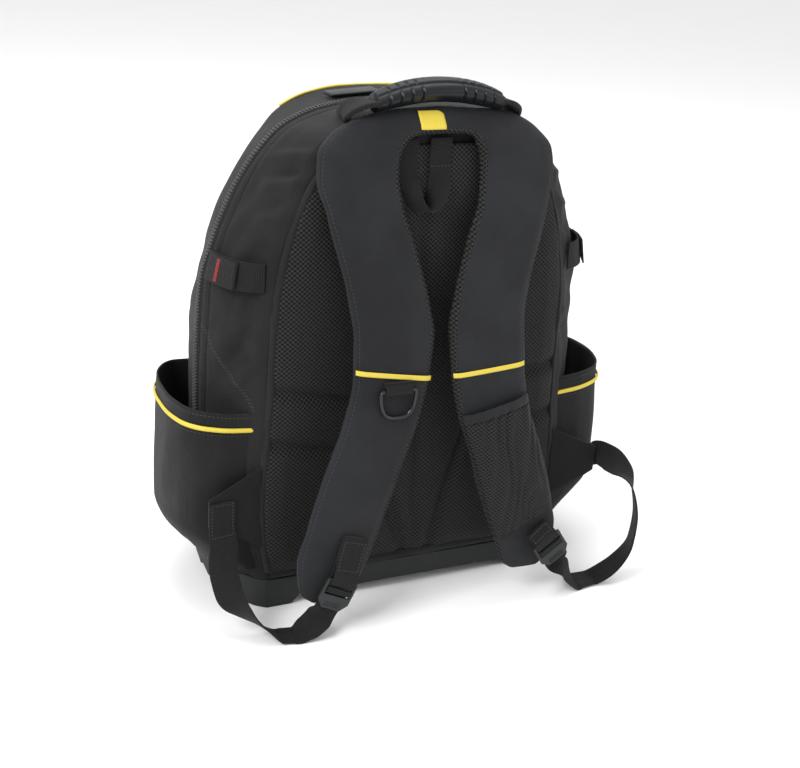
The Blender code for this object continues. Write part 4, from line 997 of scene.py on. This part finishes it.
# Side pockets: cloth bellows on both sides of the bag, with a folded hem, yellow piping below it and a sewn
# floor. Grey stitches hold the hem.
POCKET_HALF = 0.219
POCKET_LONG = 0.146
POCKET_FROM = 0.006
POCKET_LOW = 0.040
POCKET_RIM = 0.192
POCKET_TALL = 0.152
POCKET_WALL = 0.0018
# Columns: share of the pocket's length, share of how far it stands out.
POCKET_PLAN = [
    (0.000, 0.00), (0.004, 0.38), (0.060, 0.74), (0.160, 0.90), (0.330, 1.00),
    (0.500, 0.99), (0.680, 0.88), (0.850, 0.64), (0.960, 0.34), (1.000, 0.00),
]
# Columns: share of the pocket's height, share of how far it stands out there.
POCKET_HEIGHTS = [
    (0.00, 0.20), (0.08, 0.42), (0.17, 0.72), (0.24, 0.93),
    (0.30, 1.00), (0.60, 0.97), (0.80, 0.93), (1.00, 0.87),
]
# Columns: from a point, to a point, how wide, how deep.
POCKET_FOLDS = [
    ((-0.214, 0.040, 0.170), (-0.200, 0.075, 0.060), 0.012, 0.0022),
    ((-0.205, 0.100, 0.150), (-0.190, 0.120, 0.060), 0.010, -0.0020),
    ((-0.190, 0.010, 0.120), (-0.200, 0.060, 0.060), 0.009, -0.0018),
    ((-0.212, 0.030, 0.100), (-0.206, 0.100, 0.085), 0.010, -0.0016),
    ((0.214, 0.040, 0.170), (0.200, 0.075, 0.060), 0.012, 0.0022),
    ((0.190, 0.010, 0.120), (0.200, 0.060, 0.060), 0.009, -0.0018),
    ((0.212, 0.030, 0.100), (0.206, 0.100, 0.085), 0.010, -0.0016),
]


def pocket_line(share_up, inset=0.0, out_share=None, stops=64):
    """Plan of the pocket at a share of its height, drawn in by an inset, as (across, depth, height)."""
    line = []
    turns = np.linspace(0, 1, stops)
    for along in 0.5 - 0.5 * np.cos(np.pi * turns):
        out = read(POCKET_PLAN, along)[0]
        full = read(POCKET_HEIGHTS, share_up)[0] if out_share is None else out_share
        y = POCKET_FROM + inset + (POCKET_LONG - 2 * inset) * along
        z = POCKET_LOW + (POCKET_RIM - POCKET_LOW + 0.008 * out) * share_up
        seat = bag_half(y, z) + 0.0012 - 0.0060 * max(0.0, 1.0 - out / 0.3)
        line.append(Vector((seat + (POCKET_HALF - inset - seat) * out * full, y, z)))
    return line


def stand_off(line, lift):
    """A line moved sideways by a lift, away from the bag, in plan."""
    moved = []
    for i, point in enumerate(line):
        ahead = line[min(i + 1, len(line) - 1)] - line[max(i - 1, 0)]
        away = Vector((ahead.y, -ahead.x, 0.0)).normalized()
        moved.append(point + away * lift)
    return moved


def to_side(rows, side):
    """Rows made for the right side, as they lie on either side."""
    return [[(side * p[0], p[1], p[2]) for p in row] for row in rows]


pocket_cloth = woven_cloth("pocket cloth", (0.0086, 0.0088, 0.0095), thread=0.0014, rough=0.74)
for side_name, side in SIDES:
    against = pocket_line(0.0, 0.0, 0.0)
    rows = [pocket_line(0.0) + against[::-1]]
    floor = POCKET_LOW + POCKET_WALL
    for inset in (0.0, POCKET_WALL):
        bottom = [Vector((p.x, p.y, floor)) for p in pocket_line(0.0)]
        back = against if inset == 0.0 else pocket_line(0.0, POCKET_WALL)
        rows.append(bottom + [Vector((p.x, p.y, floor)) for p in back[::-1]])
    for share in np.linspace(0.03, 1.0, 46):
        hem = 0.0004 if share > 0.86 else 0.0
        rows.append(stand_off(pocket_line(share), hem) + pocket_line(share, POCKET_WALL)[::-1])
    piece("side_pocket_cloth_" + side_name, press(tidy(skin(to_side(rows, side), closed=True, capped=True)),
          POCKET_FOLDS, [(0.045, 0.0012, 1.0)]), pocket_cloth, ["side_pocket_" + side_name])
    rows = []
    for step in np.linspace(0, 1, 7):
        line = pocket_line(1 - (0.0125 + 0.0032 * step) / POCKET_TALL)
        rows.append(stand_off(line, 0.0006 + 0.0012 * math.sin(math.pi * step)))
    piece("pocket_piping_tape_" + side_name, tidy(skin(to_side(rows, side)), bag_middle), yellow,
          ["pocket_piping_" + side_name], modifiers=[wall(0.0008, True)])
    seams = []
    for drop in (0.003, 0.019):
        line = stand_off(pocket_line(1 - drop / POCKET_TALL), 0.0008)
        seams.append([(Vector((side * p.x, p.y, p.z)), Vector((side, 0.0, 0.0))) for p in line])
    stitch("pocket_stitches_" + side_name, seams, "edge")

# Lining seam that curves down the side of the bag into each pocket, sewn twice in grey thread, which lies
# on the cloth's own folds.
for side_name, side in SIDES:
    seams = []
    for apart in (0.0, 0.0028):
        line = []
        for t in np.linspace(0, 1, 60):
            y = 0.053 - 0.047 * t
            z = 0.262 - apart - 0.062 * t**1.2
            line.append((Vector((side * bag_half(y, z), y, z)), None))
        seams.append(laid_on(bag_back, line, 0.0003))
    stitch("side_seam_" + side_name, seams, "seam")

# Wings: cloth triangles, sewn into the lower corner seams of the bag, that carry the adjuster webbing at
# their tips. Columns: lowest height, and how far up from there, at the seam and at the tip.
WING_SEAM = (0.066, 0.080)
WING_TIP = (0.097, 0.025)
wing_cloth = woven_cloth("wing cloth", (0.0052, 0.0052, 0.0054))
for side_name, side in SIDES:
    rows = []
    for share in np.linspace(0, 1, 12):
        low = WING_SEAM[0] + WING_SEAM[1] * share
        seam_end = Vector((bag_half(0.0, low) - 0.002, -0.0003, low))
        tip_end = Vector((0.196, -0.006, WING_TIP[0] + WING_TIP[1] * share))
        rows.append([seam_end.lerp(tip_end, t) for t in np.linspace(0, 1, 14)])
    piece("wing_cloth_" + side_name, tidy(skin(to_side(rows, side)), bag_middle), wing_cloth,
          ["wing_" + side_name], modifiers=[wall(CLOTH_WALL, True)])

# Ladder locks: moulded frames of three bars with a lifting tab, each in a loop of webbing that is sewn to
# its strap.
# Columns: across and height of its upper edge, swing, across and height of its keeper's top.
BUCKLES = {"left": (0.091, 0.054, 0.45, 0.078, 0.0930), "right": (0.114, 0.061, 0.60, 0.106, 0.0710)}
LOCK_BAR = 0.003
LOCK_SLOT = 0.004
LOCK_THICK = 0.003
LOCK_HALF = 0.0155
LOCK_LONG = 0.020
LOCK_TAB = 0.027
LOCK_EDGE = 0.0004
SLOT_HALF = 0.013
moulding = grained("black moulding", (0.0120, 0.0142, 0.0150), 0.32, (120.0, 0.25), (1500.0, 0.0001, 0.4),
                   (0.34, 80.0, 0.18), Specular_IOR_Level=0.35)


def lock_frame(side_name, side):
    """Place and turn of a ladder lock: upright, facing the wearer, its tab swung outwards."""
    across, height, swing = BUCKLES[side_name][:3]
    face = harness_face(place_for(height), side, 0.0, 0.0)[0]
    turn = Euler((math.pi / 2, -side * swing, 0.0))
    return Matrix.LocRotScale(Vector((side * across, face.y - 0.0085, height)), turn, None)


def in_lock(matrix, down, out):
    """Point at a distance down from a lock's upper edge and out of its middle plane."""
    return matrix @ Vector((0.0, -down, out))


def root_of(value):
    """Square root that keeps its sign, which squares off a round turn of webbing."""
    return math.copysign(math.sqrt(abs(value)), value)


layer_out = LOCK_THICK / 2 + LAYER / 2 + 0.0006
for side_name, side in SIDES:
    matrix = lock_frame(side_name, side)
    outlines = [[(-LOCK_HALF, 0.0), (LOCK_HALF, 0.0), (LOCK_HALF, -LOCK_LONG), (LOCK_HALF * 0.62, -LOCK_TAB),
                 (-LOCK_HALF * 0.62, -LOCK_TAB), (-LOCK_HALF, -LOCK_LONG)]]
    for top in (-LOCK_BAR, -2 * LOCK_BAR - LOCK_SLOT):
        low = top - LOCK_SLOT
        outlines.append([(-SLOT_HALF, top), (-SLOT_HALF, low), (SLOT_HALF, low), (SLOT_HALF, top)])
    curve = bpy.data.curves.new("lock", "CURVE")
    curve.dimensions = "2D"
    curve.fill_mode = "BOTH"
    curve.extrude = LOCK_THICK / 2 - LOCK_EDGE
    curve.bevel_depth = LOCK_EDGE
    curve.bevel_resolution = 2
    curve.offset = -LOCK_EDGE
    for points in outlines:
        spline = curve.splines.new("POLY")
        spline.points.add(len(points) - 1)
        for point, (x, y) in zip(spline.points, points):
            point.co = (x, y, 0.0, 1.0)
        spline.use_cyclic_u = True
    holder = placed("lock_outline", curve)
    flat = bpy.data.meshes.new_from_object(holder.evaluated_get(bpy.context.evaluated_depsgraph_get()))
    bpy.data.objects.remove(holder, do_unlink=True)
    bm = bmesh.new()
    bm.from_mesh(flat)
    # Grip ridges on the tab. Columns: down from the upper edge, height.
    for down, tall in ((0.0245, 0.0012), (0.0228, 0.0010), (0.0211, 0.0008)):
        ridge = bmesh.ops.create_cube(bm, size=1.0)["verts"]
        bmesh.ops.scale(bm, vec=(0.016, 0.0008, tall), verts=ridge)
        bmesh.ops.translate(bm, vec=(0.0, -down, LOCK_THICK / 2), verts=ridge)
    bmesh.ops.remove_doubles(bm, verts=bm.verts, dist=1e-5)
    bmesh.ops.transform(bm, matrix=matrix, verts=bm.verts)
    piece("ladder_lock_moulding_" + side_name, tidy(bm), moulding, ["ladder_lock_" + side_name],
          smooth=False)
    width_way = matrix.to_3x3() @ Vector((1.0, 0.0, 0.0))
    top_across, top_height = BUCKLES[side_name][3:]
    patch_top = Vector((side * top_across, -0.0560, top_height))
    patch_low = in_lock(matrix, -LOCK_BAR, -layer_out)
    below = LOCK_BAR / 2 + LAYER / 2 + 0.0003
    turns = [in_lock(matrix, LOCK_BAR / 2 + below * root_of(math.cos(a)), layer_out * root_of(math.sin(a)))
             for a in np.linspace(-math.pi / 2, math.pi / 2, 9)]
    over = in_lock(matrix, -LOCK_BAR, layer_out)
    lift = Vector((0.0, -LAYER - 0.0006, 0.0))
    joined = patch_top.lerp(patch_low, 0.5)
    way = [patch_top, joined, patch_low] + turns + [over, joined + lift, patch_top + lift]
    web("lock_keeper_web_" + side_name, [(*p, *width_way) for p in way], WEB_WIDE, LAYER, 4, black_webbing,
        ["buckle_keeper_" + side_name])

# Adjusters: long loops of webbing, sewn to each wing, that hang down to the floor and run up through the
# ladder lock. Columns: across, depth and height as shares of LOOP_SIZE, then the way the width lies.
LOOP_SIZE = (0.205, 0.066, 0.118)
LOOPS = {
    "left": [
        (0.898, -0.118, 1.008, 1.00, -0.116, 0.05), (0.898, -0.121, 0.830, 1.00, -0.116, 0.05),
        (0.893, -0.167, 0.678, 1.00, 0.05, 0.00), (0.907, -0.288, 0.508, 0.95, 0.30, 0.00),
        (0.902, -0.485, 0.373, 0.85, 0.50, 0.00), (0.849, -0.652, 0.237, 0.60, 0.80, 0.00),
        (0.776, -0.727, 0.119, 0.35, 0.93, 0.00), (0.698, -0.758, 0.022, 0.10, 1.00, 0.00),
        (0.644, -0.788, 0.020, 0.10, 1.00, 0.00), (0.595, -0.833, 0.072, 0.35, 0.90, 0.15),
        (0.551, -0.879, 0.144, 0.75, 0.60, 0.00),
    ],
    "right": [
        (0.810, -0.020, 0.915, 0.00, 0.00, 1.00), (0.888, -0.045, 0.932, 0.00, 0.00, 1.00),
        (0.963, -0.053, 0.949, 0.05, 0.00, 1.00), (0.984, -0.135, 0.966, 0.15, 0.15, 1.00),
        (0.990, -0.333, 0.975, 0.30, 0.50, 0.80), (1.010, -0.606, 0.924, 0.45, 0.80, 0.40),
        (1.020, -0.879, 0.822, 0.45, 0.85, -0.10), (1.027, -1.000, 0.610, 0.42, 0.87, -0.15),
        (1.015, -1.015, 0.390, 0.40, 0.90, -0.10), (0.956, -0.939, 0.178, 0.20, 0.97, 0.00),
        (0.859, -0.788, 0.025, 0.05, 1.00, 0.00), (0.771, -0.818, 0.034, 0.05, 1.00, 0.10),
        (0.732, -0.879, 0.110, 0.40, 0.85, 0.20), (0.683, -0.924, 0.220, 0.80, 0.50, -0.30),
    ],
}
# Through the lock. Columns: slots down from the middle of its lower slot, layers out.
THREADING = [(5.00, -1.6), (3.00, -1.2), (0.38, -1.1), (0.00, 0.0), (-0.38, 1.1), (-1.35, 1.1)]
slot_middle = 2 * LOCK_BAR + 1.5 * LOCK_SLOT
for side_name, side in SIDES:
    matrix = lock_frame(side_name, side)
    width_way = matrix.to_3x3() @ Vector((side, 0.0, 0.0))
    rows = mirrored([(x * LOOP_SIZE[0], y * LOOP_SIZE[1], z * LOOP_SIZE[2], ax, ay, az)
                     for x, y, z, ax, ay, az in LOOPS[side_name]], side)
    rows += [(*in_lock(matrix, slot_middle + down * LOCK_SLOT, out * layer_out), *width_way)
             for down, out in THREADING]
    web("adjuster_web_" + side_name, rows, WEB_WIDE, LAYER, 12, black_webbing,
        ["adjuster_webbing_" + side_name])
    patch = 1.0 / (len(rows) - 1)
    lines = [sewn("adjuster_web_" + side_name, box_of(0.12 * patch, 1.6 * patch), face) for face in (-1, 1)]
    stitch("adjuster_stitches_" + side_name, lines, "box")
    keeper_lines = [sewn("lock_keeper_web_" + side_name, box_of(0.90, 0.985), face) for face in (-1, 1)]
    stitch("keeper_stitches_" + side_name, keeper_lines, "box")

# Ring on the left strap: a moulded D in a sewn loop of webbing, turning on its straight bar, which lies on
# the joint's own axis.
RING_WIRE = 0.0017
RING_HALF = 0.0167
RING_DROP = 0.0245
ring_x, ring_y, ring_bar_z = Vector(frame["joints"][0]["pos_m"]) - Vector((0.0, BACK, 0.0))


def tube(name, points, radius, material, nodes, body="bag", closed=False, sides=12):
    """Round rod along points."""
    bm = bmesh.new()
    loops = []
    count = len(points)
    up = None
    for i, point in enumerate(points):
        before = points[i - 1] if closed or i else points[i]
        after = points[(i + 1) % count] if closed or i < count - 1 else points[i]
        ahead = (Vector(after) - Vector(before)).normalized()
        if up is None:
            up = ahead.orthogonal().normalized()
        up = (up - up.project(ahead)).normalized()
        beside_it = ahead.cross(up)
        loops.append([bm.verts.new(Vector(point) + up * (radius * math.cos(a))
                                   + beside_it * (radius * math.sin(a)))
                      for a in np.linspace(0, 2 * math.pi, sides, endpoint=False)])
    for k in range(count if closed else count - 1):
        low, high = loops[k], loops[(k + 1) % count]
        for i in range(sides):
            bm.faces.new((low[i], low[(i + 1) % sides], high[(i + 1) % sides], high[i]))
    if not closed:
        bm.faces.new(loops[0])
        bm.faces.new(loops[-1])
    return piece(name, tidy(bm), material, nodes, body)


ring_line = [(ring_x + x, ring_y, ring_bar_z) for x in np.linspace(0.0155, -0.0155, 12)]
ring_line += [(ring_x - math.copysign(RING_HALF * abs(math.cos(a)) ** 0.62, math.cos(a)), ring_y,
               ring_bar_z - RING_DROP * math.sin(a) ** 0.9) for a in np.linspace(0.06, math.pi - 0.06, 48)]
ring_gloss = grained("ring moulding", (0.0050, 0.0056, 0.0060), 0.22, (90.0, 0.3), Specular_IOR_Level=0.4)
tube("ring_moulding", ring_line, RING_WIRE, ring_gloss, ["d_ring"], body="ring", closed=True)
# The keeper's middle runs this far from the bar: its wire, the play and half the webbing.
wrap = RING_WIRE + 0.0004 + 0.0006
behind = ring_y + wrap
turns = []
for share in np.linspace(0, 1, 7):
    a = math.pi * share
    turns.append((ring_x, ring_y + wrap * math.cos(a), ring_bar_z - wrap * math.sin(a), 1.0, 0.0, 0.0))
keeper_rows = [(ring_x, behind, ring_bar_z + 0.0075, 1.0, 0.0, 0.0)] + turns + [
    (ring_x, ring_y - wrap * 0.6, ring_bar_z + wrap * 1.2, 1.0, 0.0, 0.0),
    (ring_x, behind - 0.0018, ring_bar_z + 0.0055, 1.0, 0.0, 0.0),
    (ring_x, behind - 0.0018, ring_bar_z + 0.0075, 1.0, 0.0, 0.0)]
web("ring_keeper_web", keeper_rows, 0.0255, 0.0012, 4, black_webbing, ["ring_keeper"])

# Mesh pocket on the right strap: gathered air mesh, its mouth bound in the strap's cloth. It slants down
# towards the middle of the bag.
PHONE_TOP = 0.200
PHONE_LOW = 0.080
PHONE_SLANT = 0.0075


def phone_line(height, lift, gathers):
    """Line across the strap over the pocket at a height, with its bulge, its gathers and its slant."""
    line = []
    rise = math.sin(math.pi * min(1.0, 0.15 + 0.65 * (height - PHONE_LOW) / (PHONE_TOP - PHONE_LOW)))
    for across in np.linspace(-0.93, 0.93, 70):
        bulge = 0.009 * rise * (1 - across**4)
        down = (PHONE_TOP - height) / (PHONE_TOP - PHONE_LOW)
        fan = (across + 1.2 * down) * (9.0 + 5.0 * noise.noise(Vector((across * 1.5, down * 2.0, 3.0))))
        ripple = gathers * (0.5 + 0.5 * math.sin(fan * 2.2)) * (1 - across**6) * (1.0 - 0.45 * down)
        slant = (PHONE_SLANT + 0.0055 * down) * across
        line.append(harness_face(place_for(height + slant), 1, across, 0.0006 + lift + bulge - ripple)[0])
    return line


phone_rows = [phone_line(z, 0.0, 0.0022) for z in np.linspace(PHONE_LOW, PHONE_TOP - 0.0083, 40)]
piece("phone_pocket_mesh", tidy(skin(phone_rows), (0.1, BAG_DEPTH, 0.15)),
      air_mesh("pocket mesh", (0.0135, 0.0135, 0.0138), hole=0.0040), ["phone_pocket"],
      modifiers=[wall(0.0012, True)])
band_rows = [phone_line(z, 0.0, 0.0008) for z in np.linspace(PHONE_TOP - 0.008, PHONE_TOP, 5)]
piece("phone_band_cloth", tidy(skin(band_rows), (0.1, BAG_DEPTH, 0.15)), harness_cloth,
      ["phone_pocket_band"], modifiers=[wall(0.0014, True)])

# Top: the zip's moulded slider, its flat rubber pull plate and the yellow piping sewn over the front half.
step = 0.002


def over_top(depth, across, lift):
    """Point off the top of the bag."""
    rise = bag_top(depth, across + step) - bag_top(depth, across - step)
    away = Vector((-rise, 0.0, 2 * step)).normalized()
    return Vector((across, depth, bag_top(depth, across))) + away * lift


tube("top_piping_cord", [over_top(0.126, 0.092 * share, 0.0012) for share in np.linspace(-1, 1, 60)], 0.0011,
     yellow, ["top_piping"])


def rounded_plate(name, node, size, edge, material):
    """Moulded plate in the place of a node of the frame, with rounded edges."""
    low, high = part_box(node)
    bm = bmesh.new()
    bmesh.ops.create_cube(bm, size=1.0)
    bmesh.ops.scale(bm, vec=size, verts=bm.verts)
    slope = 0.0
    if node == "zip_pull":
        slope = math.atan2(bag_top(0.089, -0.017) - bag_top(0.089, -0.063), 0.046)
    bmesh.ops.rotate(bm, matrix=Matrix.Rotation(-slope, 3, "Y"), verts=bm.verts)
    bmesh.ops.translate(bm, vec=(low + high) / 2 - Vector((0.0, BACK, 0.0)), verts=bm.verts)
    return piece(name, bm, material, [node],
                 modifiers=[("BEVEL", {"width": edge, "segments": 3, "limit_method": "ANGLE"})])


rounded_plate("zip_pull_plate", "zip_pull", (0.046, 0.020, 0.003), 0.0012, grip_rubber)
rounded_plate("zip_slider_body", "zip_slider", (0.010, 0.012, 0.004), 0.0012, moulding)

# Moulded base: matte tub with four corner feet and a raised rim, under the whole bag. Its form is the
# frame's own, with its edges rounded.
base = grained("moulded base", (0.0115, 0.0125, 0.0128), 0.55, (30.0, 0.18), (1800.0, 0.0002, 0.5),
               (0.5, 12.0, 0.2), Specular_IOR_Level=0.30)
base_node = frame["nodes"]["moulded_base"]
bm = bmesh.new()
bm.from_mesh(base_node.data)
bmesh.ops.translate(bm, verts=bm.verts, vec=(0.0, -BACK, 0.0))
bmesh.ops.remove_doubles(bm, verts=bm.verts, dist=1e-6)
bmesh.ops.dissolve_limit(bm, angle_limit=math.radians(2), verts=bm.verts, edges=bm.edges)
for face in bm.faces:
    face.smooth = True
for edge in bm.edges:
    edge.smooth = len(edge.link_faces) == 2 and edge.calc_face_angle() < 0.5
piece("base_moulding", bm, base, ["moulded_base"], smooth=False,
      modifiers=[("BEVEL", {"width": 0.0018, "segments": 3, "limit_method": "ANGLE", "angle_limit": 0.5})])

# Floor, light and camera: a pale floor in a white studio, three soft lamps, and the photograph's view.
stage = bmesh.new()
bmesh.ops.create_grid(stage, x_segments=1, y_segments=1, size=6.0)
floor_mesh = mesh_from("floor", stage)
floor_mesh.materials.append(grained("pale floor", (0.86, 0.86, 0.86), 0.9, (3.0, 0.01)))
floor = placed("floor", floor_mesh)
floor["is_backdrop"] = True

world = bpy.data.worlds.new("studio")
world.use_nodes = True
world.node_tree.nodes["Background"].inputs[0].default_value = (1.0, 1.0, 1.0, 1.0)
world.node_tree.nodes["Background"].inputs[1].default_value = 0.95
bpy.context.scene.world = world
bpy.context.scene.view_settings.view_transform = "Standard"
# Columns: name, place, size, power.
LAMPS = [
    ("key", (-1.9, -0.9, 1.9), 1.1, 60.0), ("fill", (1.8, -1.6, 1.2), 1.8, 14.0),
    ("top", (0.2, 0.6, 2.4), 2.0, 34.0),
]
for name, spot, size, power in LAMPS:
    light = bpy.data.lights.new(name, "AREA")
    light.energy = power
    light.size = size
    lamp = placed(name, light)
    lamp.location = spot
    lamp.rotation_euler = (Vector((0.0, 0.0, 0.22)) - Vector(spot)).to_track_quat("-Z", "Y").to_euler()

# The photograph's view. The angles are in radians.
YAW, PITCH, ROLL = 0.463, -0.380, 0.069
forward = Vector((math.sin(YAW) * math.cos(PITCH), math.cos(YAW) * math.cos(PITCH), math.sin(PITCH)))
level = Vector((math.cos(YAW), -math.sin(YAW), 0.0))
rising = level.cross(forward)
right = level * math.cos(ROLL) + rising * math.sin(ROLL)
upward = -level * math.sin(ROLL) + rising * math.cos(ROLL)
camera = placed("camera", bpy.data.cameras.new("camera"))
camera.data.lens = 60.98
camera.data.sensor_width = 36.0
camera.data.clip_end = 20.0
turn = Matrix((right, upward, -forward)).transposed().to_4x4()
camera.matrix_world = Matrix.Translation((-0.519, -1.0044 + BACK, 0.6566)) @ turn
bpy.context.scene.camera = camera

low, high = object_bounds()
